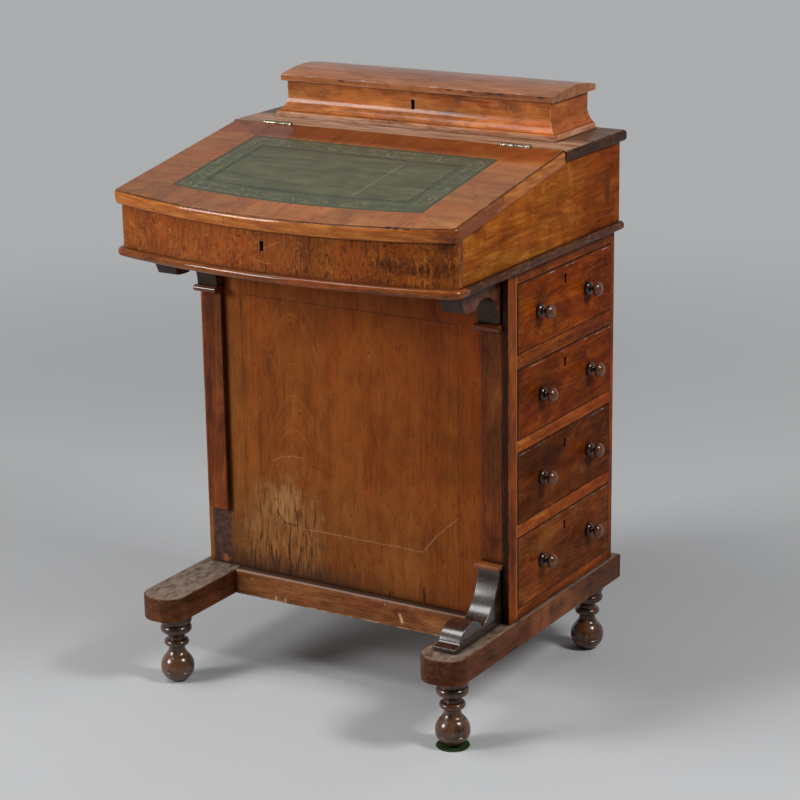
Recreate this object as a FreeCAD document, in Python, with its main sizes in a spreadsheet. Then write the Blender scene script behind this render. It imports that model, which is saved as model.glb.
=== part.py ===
import FreeCAD, Part
import math
import os
import Sketcher
from types import SimpleNamespace

# A davenport: a small writing desk with a sloping bow-fronted fall over a pedestal of side drawers.
# The front faces -Y, the drawers open towards +X, and the floor under the middle of the desk is the origin.

# Driving sizes in millimetres, and angles in degrees, by the pieces that they belong to.
SIZES = {
    # Whole desk
    "overall_depth": 518.0,
    "carcase_back_inset": 17.0,
    "cut_overrun": 4.0,
    # Feet, runners and plinth rails
    "foot_height": 105.0,
    "foot_radius": 24.3,
    "foot_spigot_radius": 9.0,
    "foot_spigot_length": 20.0,
    "spigot_clearance": 0.2,
    "felt_thickness": 2.0,
    "felt_radius": 23.5,
    "foot_front_inset": 47.0,
    "foot_rear_inset": 40.0,
    "runner_height": 36.0,
    "runner_width": 68.0,
    "runner_length": 484.0,
    "runner_outer_half": 264.0,
    "runner_nose_radius": 29.0,
    "runner_edge_radius": 3.0,
    "plinth_rail_ledge": 18.0,
    "plinth_rail_thickness": 30.0,
    # Pedestal carcase
    "pedestal_depth": 299.0,
    "pedestal_half_width": 245.0,
    "drawer_face_proud": 12.0,
    "front_thickness": 12.0,
    "side_thickness": 16.0,
    "side_front_lip": 7.0,
    "back_thickness": 11.0,
    "carcase_bottom_thickness": 14.0,
    "carcase_top_thickness": 19.0,
    "frame_left_width": 62.0,
    "frame_right_width": 73.0,
    "frame_rail_height": 81.0,
    "pilaster_width": 33.0,
    "pilaster_thickness": 8.0,
    "pilaster_quirk": 2.5,
    "stile_front_lip": 12.0,
    "drawer_rail_depth": 40.0,
    "drawer_runner_width": 14.0,
    # Drawers, from the top one down
    "top_drawer_height": 98.0,
    "second_drawer_height": 100.0,
    "third_drawer_height": 104.0,
    "bottom_drawer_height": 105.0,
    "upper_rail_height": 20.0,
    "middle_rail_height": 17.0,
    "lower_rail_height": 17.0,
    "drawer_gap": 1.0,
    "drawer_running_gap": 0.4,
    "drawer_side_gap": 2.0,
    "drawer_front_thickness": 20.0,
    "drawer_side_thickness": 9.0,
    "drawer_bottom_thickness": 6.0,
    "drawer_bottom_rise": 6.0,
    "drawer_side_drop": 10.0,
    "drawer_rear_room": 24.0,
    "dummy_thickness": 5.0,
    "knob_radius": 11.0,
    "knob_projection": 24.0,
    "knob_spigot_radius": 4.0,
    "knob_spigot_length": 12.0,
    "top_knob_shift": 8.0,
    # Keyholes and locks
    "keyhole_radius": 3.4,
    "keyhole_slot_width": 5.6,
    "keyhole_slot_length": 11.0,
    "lock_width": 46.0,
    "lock_height": 30.0,
    "lock_thickness": 9.0,
    "lock_backset": 12.0,
    "lock_bore_radius": 3.2,
    "keyhole_shift": 9.0,
    "till_keyhole_shift": 4.0,
    "lock_clearance": 0.1,
    "till_lock_height": 24.0,
    # Desk box with its bowed front rail and base bead
    "desk_half_width": 264.0,
    "desk_bottom_thickness": 12.0,
    "desk_rear_height": 114.0,
    "desk_side_thickness": 12.0,
    "desk_back_thickness": 12.0,
    "rail_thickness": 18.0,
    "rail_corner_radius": 10.0,
    "bow_rise": 33.0,
    "bead_depth": 8.0,
    "bead_round_radius": 5.5,
    # Deck board and the sloping fall
    "deck_thickness": 16.0,
    "deck_depth": 180.0,
    "deck_side_lip": 8.0,
    "deck_rear_lip": 5.0,
    "deck_edge_radius": 5.0,
    "fall_slope": 9.6,
    "fall_thickness": 20.0,
    "fall_front_lip": 9.0,
    "fall_side_lip": 6.0,
    "fall_seat_gap": 0.5,
    "fall_corner_radius": 12.0,
    "fall_top_radius": 6.0,
    "fall_under_radius": 4.0,
    "fall_step_inset": 4.6,
    "fall_step_height": 1.4,
    "leather_half_width": 197.0,
    "leather_length": 203.0,
    "leather_rear_margin": 54.0,
    "leather_bow": 18.0,
    "leather_thickness": 1.2,
    # Butt hinges of the fall and of the till lid
    "hinge_length": 46.0,
    "hinge_leaf_thickness": 1.6,
    "hinge_barrel_radius": 3.0,
    "hinge_pin_radius": 1.2,
    "hinge_pin_clearance": 0.05,
    "hinge_gap": 0.8,
    "hinge_clearance": 0.4,
    "fall_leaf_height": 13.0,
    "till_leaf_height": 10.0,
    "fall_hinge_inset": 70.0,
    "till_hinge_inset": 70.0,
    "till_barrel_offset": 3.2,
    # Stationery till at the back of the deck
    "till_half_width": 230.5,
    "till_depth": 124.0,
    "till_back_inset": 6.0,
    "till_height": 51.5,
    "till_flare": 14.5,
    "till_wall": 10.0,
    "till_step_height": 3.6,
    "till_step_depth": 2.2,
    "till_cove_height": 26.8,
    "till_lid_front_lip": 7.0,
    "till_lid_rear_lip": 11.0,
    "till_lid_edge": 8.0,
    "till_lid_dome": 8.0,
    # Corbels under the overhang, and the scroll bracket on the runner
    "corbel_reach": 121.0,
    "corbel_height": 70.0,
    "capital_height": 9.0,
    "capital_side_lip": 2.2,
    "capital_front_lip": 9.0,
    "scroll_reach": 139.0,
    "scroll_height": 80.0,
    "scroll_cap_height": 6.0,
    "scroll_cap_lip": 7.0,
}

# Places along a piece as shares of that piece.
knob_near_share = 0.25
knob_far_share = 0.765
drawer_key_share = 0.5
drawer_key_drop_share = 0.17
rail_key_share = 0.70
till_key_share = 0.70
hinge_knuckle_share = 0.36
capital_bow_share = 0.9
cove_bow_share = 0.3
selection_share = 0.0001

# Turned and sawn outlines as shares of the piece's own radius or reach and height.
# The third number bows the stretch that arrives at the point: its height over half its chord.
foot_shares = [
    (0.375, 0.0, 0.0), (0.975, 0.162, 0.245), (0.94, 0.17, 0.0), (0.988, 0.178, 0.0),
    (0.695, 0.38, 0.245), (0.63, 0.385, 0.0), (0.63, 0.405, 0.0), (0.47, 0.505, -0.2),
    (0.58, 0.525, 0.0), (0.58, 0.615, 0.85), (0.48, 0.625, 0.0), (0.48, 0.645, 0.0),
    (0.78, 0.715, -0.3), (0.78, 0.835, 0.6), (0.76, 0.85, 0.0), (0.95, 0.875, 0.0), (0.97, 1.0, 0.0),
]
knob_shares = [
    (0.74, 0.0, 0.0), (0.88, 0.13, 0.35), (0.38, 0.31, 0.25), (0.28, 0.37, 0.0), (0.28, 0.47, 0.0),
    (0.74, 0.56, -0.15), (0.94, 0.74, 0.4),
]
corbel_shares = [
    (0.0, 0.0, 0.0), (1.0, 0.0, 0.0), (0.945, 0.23, 0.0), (0.87, 0.485, 0.0), (0.645, 0.505, 0.06),
    (0.182, 0.615, -0.53), (0.13, 1.0, -0.1), (0.0, 1.0, 0.0),
]
scroll_shares = [
    (0.0, 0.0, 0.0), (0.0, 1.0, 0.0), (0.13, 1.0, 0.0), (0.46, 0.165, -0.26), (0.89, 0.175, 0.58),
    (0.955, 0.095, -0.3), (1.0, 0.08, 0.0), (1.0, 0.0, 0.0),
]


class Size:
    """A size as its value and as the expression that ties it to the sheet."""

    def __init__(self, text, value):
        self.text = text
        self.value = value

    def joined(self, sign, other, value):
        return Size(f"({self.text} {sign} {sized(other).text})", value)

    def __add__(self, other):
        return self.joined("+", other, self.value + sized(other).value)

    def __sub__(self, other):
        return self.joined("-", other, self.value - sized(other).value)

    def __mul__(self, other):
        return self.joined("*", other, self.value * sized(other).value)

    def __truediv__(self, other):
        return self.joined("/", other, self.value / sized(other).value)

    def __neg__(self):
        return Size(f"(-{self.text})", -self.value)


def sized(item):
    return item if isinstance(item, Size) else Size(repr(float(item)), float(item))


def root(size):
    return Size(f"sqrt({size.text})", math.sqrt(size.value))


def sine(angle):
    return Size(f"sin({angle.text})", math.sin(math.radians(angle.value)))


def cosine(angle):
    return Size(f"cos({angle.text})", math.cos(math.radians(angle.value)))


def tangent(angle):
    return Size(f"tan({angle.text})", math.tan(math.radians(angle.value)))


doc = FreeCAD.newDocument("davenport_desk")
sheet = doc.addObject("Spreadsheet::Sheet", "Sizes")
for row, (alias, number) in enumerate(SIZES.items(), 1):
    sheet.set(f"A{row}", alias)
    sheet.set(f"B{row}", str(number))
    sheet.setAlias(f"B{row}", alias)
doc.recompute()

S = SimpleNamespace(**{alias: Size(f"Sizes.{alias}", number) for alias, number in SIZES.items()})
ZERO = sized(0)
nodes = []


def node(item):
    """Marks an object as a finished piece, which is written under its label."""
    nodes.append(item)
    return item


def bind(item, path, size):
    item.setExpression(path, size.text)


def place(item, x=ZERO, y=ZERO, z=ZERO):
    for name, size in (("x", x), ("y", y), ("z", z)):
        bind(item, f"Placement.Base.{name}", size)
    return item


def turned_about(item, axis, angle):
    item.Placement = FreeCAD.Placement(FreeCAD.Vector(), FreeCAD.Rotation(FreeCAD.Vector(*axis), angle))
    return item


def board(name, xs, ys, zs):
    """A plain board between two places along each axis."""
    item = doc.addObject("Part::Box", name)
    for side, (low, high) in (("Length", xs), ("Width", ys), ("Height", zs)):
        bind(item, side, high - low)
    return place(item, xs[0], ys[0], zs[0])


def rod(name, radius, xs, y, z):
    """A round rod along X."""
    item = turned_about(doc.addObject("Part::Cylinder", name), (0, 1, 0), 90)
    bind(item, "Radius", radius)
    bind(item, "Height", xs[1] - xs[0])
    return place(item, xs[0], y, z)


def post(name, radius, x, y, zs):
    """A round post along Z."""
    item = doc.addObject("Part::Cylinder", name)
    bind(item, "Radius", radius)
    bind(item, "Height", zs[1] - zs[0])
    return place(item, x, y, zs[0])


def group(name, items):
    item = doc.addObject("Part::Compound", name)
    item.Links = items
    return item


def fuse(name, items):
    item = doc.addObject("Part::MultiFuse", name)
    item.Shapes = items
    return item


def cut(name, base, tools):
    item = doc.addObject("Part::Cut", name)
    item.Base = base
    item.Tool = tools[0] if len(tools) == 1 else fuse(f"{name}_cutter", tools)
    return item


def common(name, base, tool):
    item = doc.addObject("Part::Common", name)
    item.Base = base
    item.Tool = tool
    return item


def vector(corner):
    return FreeCAD.Vector(corner[0].value, corner[1].value, 0)


def draw(body, role, path):
    """A closed sketch: each corner is (u, v) or (u, v, bow), where bow curves the side that arrives there."""
    sketch = body.newObject("Sketcher::SketchObject", f"{body.Name}_outline")
    plane = next(item for item in body.Origin.OriginFeatures if item.Role == role)
    sketch.AttachmentSupport = [(plane, "")]
    sketch.MapMode = "FlatFace"
    corners = [(sized(u), sized(v)) for u, v, *bow in path]
    sides = []
    for index, (u, v, *bow) in enumerate(path):
        start = corners[index - 1]
        end = corners[index]
        bow = sized(bow[0]) if bow else ZERO
        if not bow.value:
            side = sketch.addGeometry(Part.LineSegment(vector(start), vector(end)))
            sides.append((side, 1, 2))
            continue
        across = end[0] - start[0]
        along = end[1] - start[1]
        chord = root(across * across + along * along)
        reach = Size(f"abs({bow.text})", abs(bow.value))
        radius = chord * (reach * reach + 1) / (reach * 4)
        middle = (vector(start) + vector(end)) / 2
        normal = FreeCAD.Vector(-along.value, across.value, 0) / chord.value
        sagitta = bow.value * chord.value / 2
        centre = middle + normal * (math.copysign(radius.value, sagitta) - sagitta)
        turns = (vector(start) - centre, vector(end) - centre)
        first, last = turns if bow.value > 0 else turns[::-1]
        circle = Part.Circle(centre, FreeCAD.Vector(0, 0, 1), radius.value)
        arc = Part.ArcOfCircle(circle, math.atan2(first.y, first.x), math.atan2(last.y, last.x))
        side = sketch.addGeometry(arc)
        sides.append((side, 1, 2) if bow.value > 0 else (side, 2, 1))
        datum = sketch.addConstraint(Sketcher.Constraint("Radius", side, radius.value))
        sketch.setExpression(f"Constraints[{datum}]", radius.text)
    for index, (side, start, end) in enumerate(sides):
        following = sides[(index + 1) % len(sides)]
        sketch.addConstraint(Sketcher.Constraint("Coincident", side, end, following[0], following[1]))
        for kind, axis, size in (("DistanceX", -2, corners[index][0]), ("DistanceY", -1, corners[index][1])):
            if size.value:
                datum = sketch.addConstraint(Sketcher.Constraint(kind, -1, 1, side, end, size.value))
                sketch.setExpression(f"Constraints[{datum}]", size.text)
            else:
                sketch.addConstraint(Sketcher.Constraint("PointOnObject", side, end, axis))
    return sketch


def padded(name, role, path, length, down=False):
    """A body sawn to an outline on one of its planes and as thick as length."""
    body = doc.addObject("PartDesign::Body", name)
    pad = body.newObject("PartDesign::Pad", f"{name}_pad")
    pad.Profile = draw(body, role, path)
    bind(pad, "Length", length)
    pad.Reversed = down
    return body


def revolved(name, path):
    """A body turned about Z from the outline to the right of the axis."""
    body = doc.addObject("PartDesign::Body", name)
    sketch = draw(body, "XZ_Plane", path)
    turn = body.newObject("PartDesign::Revolution", f"{name}_turn")
    turn.Profile = sketch
    turn.ReferenceAxis = (sketch, ["V_Axis"])
    turn.Angle = 360
    return body


def rounded(body, name, radius, chosen):
    """Rounds the edges of a body that the test picks out."""
    doc.recompute()
    base = body.Tip
    edges = [f"Edge{index}" for index, edge in enumerate(base.Shape.Edges, 1) if chosen(edge.BoundBox)]
    fillet = body.newObject("PartDesign::Fillet", f"{body.Name}_{name}")
    fillet.Base = (base, edges)
    bind(fillet, "Radius", radius)
    return body


def flat_at(box, height):
    return abs(box.ZMin - height) < box_tolerance and abs(box.ZMax - height) < box_tolerance


def upright(box):
    return box.ZLength > box_tolerance and max(box.XLength, box.YLength) < box_tolerance


box_tolerance = S.overall_depth.value * selection_share

# Levels and planes that the pieces share.
half_depth = S.overall_depth / 2
carcase_back = half_depth - S.carcase_back_inset
panel_front = carcase_back - S.pedestal_depth
panel_back = panel_front + S.front_thickness
back_front = carcase_back - S.back_thickness
pilaster_front = panel_front - S.pilaster_thickness
runner_top = S.foot_height + S.runner_height
side_inner = S.pedestal_half_width - S.side_thickness
drawer_face = S.pedestal_half_width + S.drawer_face_proud
stile_inner = S.pedestal_half_width + S.pilaster_quirk

levels = []
level = runner_top + S.carcase_bottom_thickness
for number, height, rail in (
    (4, S.bottom_drawer_height, S.lower_rail_height),
    (3, S.third_drawer_height, S.middle_rail_height),
    (2, S.second_drawer_height, S.upper_rail_height),
    (1, S.top_drawer_height, S.carcase_top_thickness),
):
    high = level + height
    levels.append(SimpleNamespace(number=number, low=level, high=high, rail_top=high + rail))
    level = levels[-1].rail_top
top_rail_low = levels[-1].high
pedestal_top = levels[-1].rail_top

desk_floor = pedestal_top + S.desk_bottom_thickness
deck_under = desk_floor + S.desk_rear_height
deck_top = deck_under + S.deck_thickness
hinge_line = carcase_back + S.deck_rear_lip - S.deck_depth
rail_apex = S.fall_front_lip - half_depth
rail_corner = rail_apex + S.bow_rise
bow_radius = (S.desk_half_width * S.desk_half_width + S.bow_rise * S.bow_rise) / (S.bow_rise * 2)
bow_centre = rail_apex + bow_radius
rail_inner_radius = bow_radius - S.rail_thickness


def arc_rise(radius, half_width):
    return radius - root(radius * radius - half_width * half_width)


def under_fall(y):
    """Height of the seat under the closed fall at a place from front to back."""
    thickness = S.fall_thickness / cosine(S.fall_slope)
    return deck_top - thickness - S.fall_seat_gap - (hinge_line - y) * tangent(S.fall_slope)


def mirrored(low, high, side):
    """A stretch of X on the right, or its mirror image on the left."""
    return (low, high) if side > 0 else (-high, -low)


# Feet, with the felt pad under the front right one
foot_x = S.runner_outer_half - S.runner_width / 2
runner_front = half_depth - S.runner_length
foot_front_y = runner_front + S.foot_front_inset
foot_rear_y = half_depth - S.foot_rear_inset


def foot(name, x, y, floor):
    height = S.foot_height - floor
    outline = [(S.foot_radius * out, height * up, bow) for out, up, bow in foot_shares]
    spigot = [
        (S.foot_spigot_radius, height),
        (S.foot_spigot_radius, height + S.foot_spigot_length),
        (ZERO, height + S.foot_spigot_length),
        (ZERO, ZERO),
    ]
    return place(revolved(name, outline + spigot), x, y, floor)


node(group("feet", [
    foot("foot_front_left", -foot_x, foot_front_y, ZERO),
    foot("foot_rear_left", -foot_x, foot_rear_y, ZERO),
    foot("foot_rear_right", foot_x, foot_rear_y, ZERO),
]))
node(foot("foot_front_right", foot_x, foot_front_y, S.felt_thickness))
node(post("felt_pad", S.felt_radius, foot_x, foot_front_y, (ZERO, S.felt_thickness)))

# Sledge runners with round noses, bored for the foot spigots
runner_inner = S.runner_outer_half - S.runner_width


def runner(name, side):
    low, high = mirrored(runner_inner, S.runner_outer_half, side)
    nose = S.runner_nose_radius
    bow = math.tan(math.pi / 8)
    outline = [
        (low, half_depth),
        (low, runner_front + nose),
        (low + nose, runner_front, bow),
        (high - nose, runner_front),
        (high, runner_front + nose, bow),
        (high, half_depth),
    ]
    blank = padded(f"{name}_blank", "XY_Plane", outline, S.runner_height)
    rounded(blank, "edges", S.runner_edge_radius, lambda box: flat_at(box, S.runner_height.value))
    place(blank, z=S.foot_height)
    radius = S.foot_spigot_radius + S.spigot_clearance
    bore = (S.foot_height - S.cut_overrun, S.foot_height + S.foot_spigot_length)
    centre = (low + high) / 2
    return cut(name, blank, [
        post(f"{name}_front_bore", radius, centre, foot_front_y, bore),
        post(f"{name}_rear_bore", radius, centre, foot_rear_y, bore),
    ])


node(runner("runner_left", -1))
node(runner("runner_right", 1))

plinth_front = panel_front - S.plinth_rail_ledge
plinth_x = (-runner_inner, runner_inner)
node(group("plinth_rails", [
    board("plinth_rail_front", plinth_x, (plinth_front, plinth_front + S.plinth_rail_thickness),
          (S.foot_height, runner_top)),
    board("plinth_rail_rear", plinth_x, (carcase_back - S.plinth_rail_thickness, carcase_back),
          (S.foot_height, runner_top)),
]))

# Pedestal carcase
carcase_y = (panel_back, back_front)
pedestal_z = (runner_top, pedestal_top)
node(board("carcase_bottom", (-side_inner, drawer_face), carcase_y,
           (runner_top, runner_top + S.carcase_bottom_thickness)))
node(board("carcase_top", (-side_inner, drawer_face), carcase_y, (top_rail_low, pedestal_top)))

frame_left = S.frame_left_width - S.pedestal_half_width
frame_right = S.pedestal_half_width - S.frame_right_width
front_y = (panel_front, panel_back)
frame_rail_low = pedestal_top - S.frame_rail_height
node(group("front_frame", [
    board("frame_stile_left", (-S.pedestal_half_width, frame_left), front_y, pedestal_z),
    board("frame_stile_right", (frame_right, stile_inner), front_y, pedestal_z),
    board("frame_rail", (frame_left, frame_right), front_y, (frame_rail_low, pedestal_top)),
]))
node(board("front_panel", (frame_left, frame_right), front_y, (runner_top, frame_rail_low)))

drawer_stile_y = (panel_front - S.stile_front_lip, panel_back)
rear_stile_inner = drawer_face - S.drawer_front_thickness
node(group("drawer_stiles", [
    board("drawer_stile_front", (stile_inner, drawer_face), drawer_stile_y, pedestal_z),
    board("drawer_stile_rear", (rear_stile_inner, drawer_face), (back_front, carcase_back), pedestal_z),
]))
node(board("back_panel", (-side_inner, rear_stile_inner), (back_front, carcase_back), pedestal_z))

rail_back = drawer_face - S.drawer_rail_depth
runner_ys = (
    (panel_back, panel_back + S.drawer_runner_width),
    (back_front - S.drawer_runner_width, back_front),
)
node(group("drawer_rails", [
    board(f"drawer_rail_{item.number}", (rail_back, drawer_face), carcase_y, (item.high, item.rail_top))
    for item in levels[:-1]
]))
node(group("drawer_runners", [
    board(f"drawer_runner_{item.number}_{end}", (-side_inner, rail_back), ys, (item.high, item.rail_top))
    for item in levels[:-1]
    for end, ys in zip(("front", "rear"), runner_ys)
]))

# Pilasters, with the corbels and their capitals above and the scroll bracket below
pilaster_inner = S.pedestal_half_width - S.pilaster_width
scroll_top = runner_top + S.scroll_height
pilaster_low = scroll_top + S.scroll_cap_height
corbel_low = pedestal_top - S.corbel_height
capital_low = corbel_low - S.capital_height
pilaster_x = {side: mirrored(pilaster_inner, S.pedestal_half_width, side) for side in (-1, 1)}
node(group("pilasters", [
    board(f"pilaster_{name}", pilaster_x[side], (pilaster_front, panel_front), (pilaster_low, capital_low))
    for name, side in (("left", -1), ("right", 1))
]))


def sawn_bracket(name, side, shares, reach, level, height):
    """A bracket sawn from a thick board to an outline seen from the side."""
    outline = [(panel_front - reach * out, height * up, bow) for out, up, bow in shares]
    body = padded(name, "YZ_Plane", outline, S.pilaster_width)
    return place(body, x=pilaster_x[side][0], z=level)


for name, side in (("left", -1), ("right", 1)):
    node(sawn_bracket(f"corbel_{name}", side, corbel_shares, S.corbel_reach, pedestal_top, -S.corbel_height))
node(sawn_bracket("scroll_bracket", 1, scroll_shares, S.scroll_reach, runner_top, S.scroll_height))

neck_depth = S.corbel_reach * corbel_shares[-2][0]
capital_front = panel_front - neck_depth - S.capital_front_lip


def capital(name, side):
    low, high = pilaster_x[side]
    outline = [
        (panel_front, ZERO),
        (panel_front, S.capital_height),
        (capital_front + S.capital_height / 2, S.capital_height),
        (capital_front + S.capital_height / 2, ZERO, capital_bow_share),
    ]
    body = padded(name, "YZ_Plane", outline, high - low + S.capital_side_lip * 2)
    return place(body, x=low - S.capital_side_lip, z=capital_low)


node(group("corbel_capitals", [capital("capital_left", -1), capital("capital_right", 1)]))
scroll_neck = S.scroll_reach * scroll_shares[2][0]
node(board("scroll_cap", (pilaster_x[1][0] - S.capital_side_lip, pilaster_x[1][1] + S.capital_side_lip),
           (panel_front - scroll_neck - S.scroll_cap_lip, panel_front), (scroll_top, pilaster_low)))


# Locks and keyholes: a round hole with a slot below it, along X for drawers and along Y for the rest
def keyhole(name, x, y, z, depth, along_x):
    slot_half = S.keyhole_slot_width / 2
    slot_z = (z - S.keyhole_slot_length, z)
    if along_x:
        round_part = rod(f"{name}_hole", S.keyhole_radius, (x, x + depth), y, z)
        return [round_part, board(f"{name}_slot", (x, x + depth), (y - slot_half, y + slot_half), slot_z)]
    round_part = turned_about(doc.addObject("Part::Cylinder", f"{name}_hole"), (1, 0, 0), -90)
    bind(round_part, "Radius", S.keyhole_radius)
    bind(round_part, "Height", depth)
    place(round_part, x, y, z)
    return [round_part, board(f"{name}_slot", (x - slot_half, x + slot_half), (y, y + depth), slot_z)]


def lock(name, xs, ys, zs, bore):
    """A lock case with the hole that the key enters."""
    return cut(name, board(f"{name}_case", xs, ys, zs), [bore])


# Drawers
drawer_y = (panel_back + S.drawer_gap, back_front - S.drawer_gap)
drawer_span = drawer_y[1] - drawer_y[0]
drawer_inner = drawer_face - S.drawer_front_thickness
drawer_tail = S.drawer_rear_room - side_inner
knob_places = [drawer_y[0] + drawer_span * share for share in (knob_near_share, knob_far_share)]
top_knob_places = [place_y - S.top_knob_shift for place_y in knob_places]


def knob_row(item):
    """Where the knobs of a drawer stand: those of the top drawer are set further forward."""
    return top_knob_places if item.number == 1 else knob_places


def knob(name, face, y, z, side):
    outline = [(S.knob_radius * out, S.knob_projection * up, bow) for out, up, bow in knob_shares]
    dome_steepness = (S.knob_projection - outline[-1][1]) / outline[-1][0]
    dome_bow = (root(dome_steepness * dome_steepness + 1) - 1) / dome_steepness
    spigot = [
        (ZERO, S.knob_projection, dome_bow),
        (ZERO, -S.knob_spigot_length),
        (S.knob_spigot_radius, -S.knob_spigot_length),
        (S.knob_spigot_radius, ZERO),
    ]
    return place(turned_about(revolved(name, outline + spigot), (0, 1, 0), 90 * side), face, y, z)


def knob_bores(name, face, row, z, side):
    xs = mirrored(face - S.knob_spigot_length, face + S.cut_overrun, side)
    radius = S.knob_spigot_radius + S.spigot_clearance
    return [rod(f"{name}_bore_{index}", radius, xs, y, z) for index, y in enumerate(row)]


def drawer(item):
    name = f"drawer_{item.number}"
    front_z = (item.low + S.drawer_gap, item.high - S.drawer_gap)
    middle = (front_z[0] + front_z[1]) / 2
    key_y = drawer_y[0] + drawer_span * drawer_key_share
    key_z = front_z[1] - (front_z[1] - front_z[0]) * drawer_key_drop_share
    blank = board(f"{name}_front_blank", (drawer_inner, drawer_face), drawer_y, front_z)
    hole = keyhole(f"{name}_key", drawer_inner - S.cut_overrun, key_y, key_z,
                   S.drawer_front_thickness + S.cut_overrun * 2, True)
    node(cut(f"{name}_front", blank, hole + knob_bores(name, drawer_face, knob_row(item), middle, 1)))
    node(group(f"{name}_knobs", [
        knob(f"{name}_knob_{index}", drawer_face, y, middle, 1) for index, y in enumerate(knob_row(item))
    ]))

    sides_y = (panel_back + S.drawer_side_gap, back_front - S.drawer_side_gap)
    inner_y = (sides_y[0] + S.drawer_side_thickness, sides_y[1] - S.drawer_side_thickness)
    sides_x = (drawer_tail, drawer_inner)
    sides_z = (item.low + S.drawer_running_gap, front_z[1] - S.drawer_side_drop)
    bottom_low = sides_z[0] + S.drawer_bottom_rise
    back_x = drawer_tail + S.drawer_side_thickness
    node(group(f"{name}_box", [
        board(f"{name}_side_front", sides_x, (sides_y[0], inner_y[0]), sides_z),
        board(f"{name}_side_rear", sides_x, (inner_y[1], sides_y[1]), sides_z),
        board(f"{name}_back", (drawer_tail, back_x), inner_y, sides_z),
        board(f"{name}_bottom", (back_x, drawer_inner), inner_y,
              (bottom_low, bottom_low + S.drawer_bottom_thickness)),
    ]))

    lock_x = (drawer_inner - S.lock_thickness, drawer_inner)
    lock_y = (key_y - S.lock_width / 2, key_y + S.lock_width / 2)
    lock_z = (key_z + S.lock_backset - S.lock_height, key_z + S.lock_backset)
    bore_x = (lock_x[0] - S.cut_overrun, lock_x[1] + S.cut_overrun)
    node(lock(f"{name}_lock", lock_x, lock_y, lock_z,
              rod(f"{name}_lock_bore", S.lock_bore_radius, bore_x, key_y, key_z)))


for item in reversed(levels):
    drawer(item)

# Left side panel with dummy drawer fronts and their knobs
side_outer = S.pedestal_half_width + S.side_front_lip
dummy_face = side_outer + S.dummy_thickness
dummy_fronts = []
dummy_knobs = []
side_cuts = [board("side_panel_rebate", (-S.pedestal_half_width, -side_inner), front_y, pedestal_z)]
for item in reversed(levels):
    name = f"dummy_{item.number}"
    front_z = (item.low + S.drawer_gap, item.high - S.drawer_gap)
    middle = (front_z[0] + front_z[1]) / 2
    blank = board(f"{name}_blank", mirrored(side_outer, dummy_face, -1), drawer_y, front_z)
    bores = knob_bores(name, dummy_face, knob_row(item), middle, -1)
    dummy_fronts.append(cut(f"{name}_front", blank, bores))
    side_cuts += bores
    dummy_knobs += [knob(f"{name}_knob_{index}", -dummy_face, y, middle, -1)
                    for index, y in enumerate(knob_row(item))]
side_blank = board("side_panel_blank", (-side_outer, -side_inner), (panel_front, carcase_back), pedestal_z)
node(cut("side_panel_left", side_blank, side_cuts))
node(group("dummy_fronts", dummy_fronts))
node(group("dummy_knobs", dummy_knobs))

# Desk box: floor, bowed front rail, sloping sides and back
desk_half = S.desk_half_width
bow = S.bow_rise / desk_half


def at_front_corner(box):
    return upright(box) and box.YMax < rail_corner.value + box_tolerance


desk_bottom = padded("desk_bottom", "XY_Plane", [
    (-desk_half, carcase_back),
    (-desk_half, rail_corner),
    (desk_half, rail_corner, bow),
    (desk_half, carcase_back),
], S.desk_bottom_thickness)
rounded(desk_bottom, "corners", S.rail_corner_radius, at_front_corner)
node(place(desk_bottom, z=pedestal_top))

inner_rise = arc_rise(rail_inner_radius, desk_half)
rail_inner_end = bow_centre - rail_inner_radius + inner_rise
rail_blank = padded("desk_front_blank", "XY_Plane", [
    (-desk_half, rail_inner_end, -inner_rise / desk_half),
    (-desk_half, rail_corner),
    (desk_half, rail_corner, bow),
    (desk_half, rail_inner_end),
], deck_top - desk_floor)
rounded(rail_blank, "corners", S.rail_corner_radius, at_front_corner)
place(rail_blank, z=desk_floor)
seat_front = -half_depth
seat = padded("desk_front_seat", "YZ_Plane", [
    (seat_front, desk_floor),
    (hinge_line, desk_floor),
    (hinge_line, under_fall(hinge_line)),
    (seat_front, under_fall(seat_front)),
], desk_half * 2)
place(seat, x=-desk_half)
rail_top = under_fall(rail_apex)
rail_key_z = desk_floor + (rail_top - desk_floor) * rail_key_share
rail_key_x = -S.keyhole_shift
rail_key = keyhole("desk_front_key", rail_key_x, rail_apex - S.cut_overrun, rail_key_z,
                   S.rail_thickness + S.cut_overrun * 2, False)
node(cut("desk_front", common("desk_front_bowed", rail_blank, seat), rail_key))

side_outline = [
    (rail_corner, desk_floor),
    (carcase_back, desk_floor),
    (carcase_back, deck_under),
    (hinge_line, deck_under),
    (hinge_line, under_fall(hinge_line)),
    (rail_corner, under_fall(rail_corner)),
]
for name, side in (("left", -1), ("right", 1)):
    low, high = mirrored(desk_half - S.desk_side_thickness, desk_half, side)
    blank = place(padded(f"desk_side_{name}_blank", "YZ_Plane", side_outline, high - low), x=low)
    inside_bow = post(f"desk_side_{name}_bow", rail_inner_radius, ZERO, bow_centre, (desk_floor, deck_top))
    node(common(f"desk_side_{name}", blank, inside_bow))
desk_inner = desk_half - S.desk_side_thickness
node(board("desk_back", (-desk_inner, desk_inner), (carcase_back - S.desk_back_thickness, carcase_back),
           (desk_floor, deck_under)))

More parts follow.
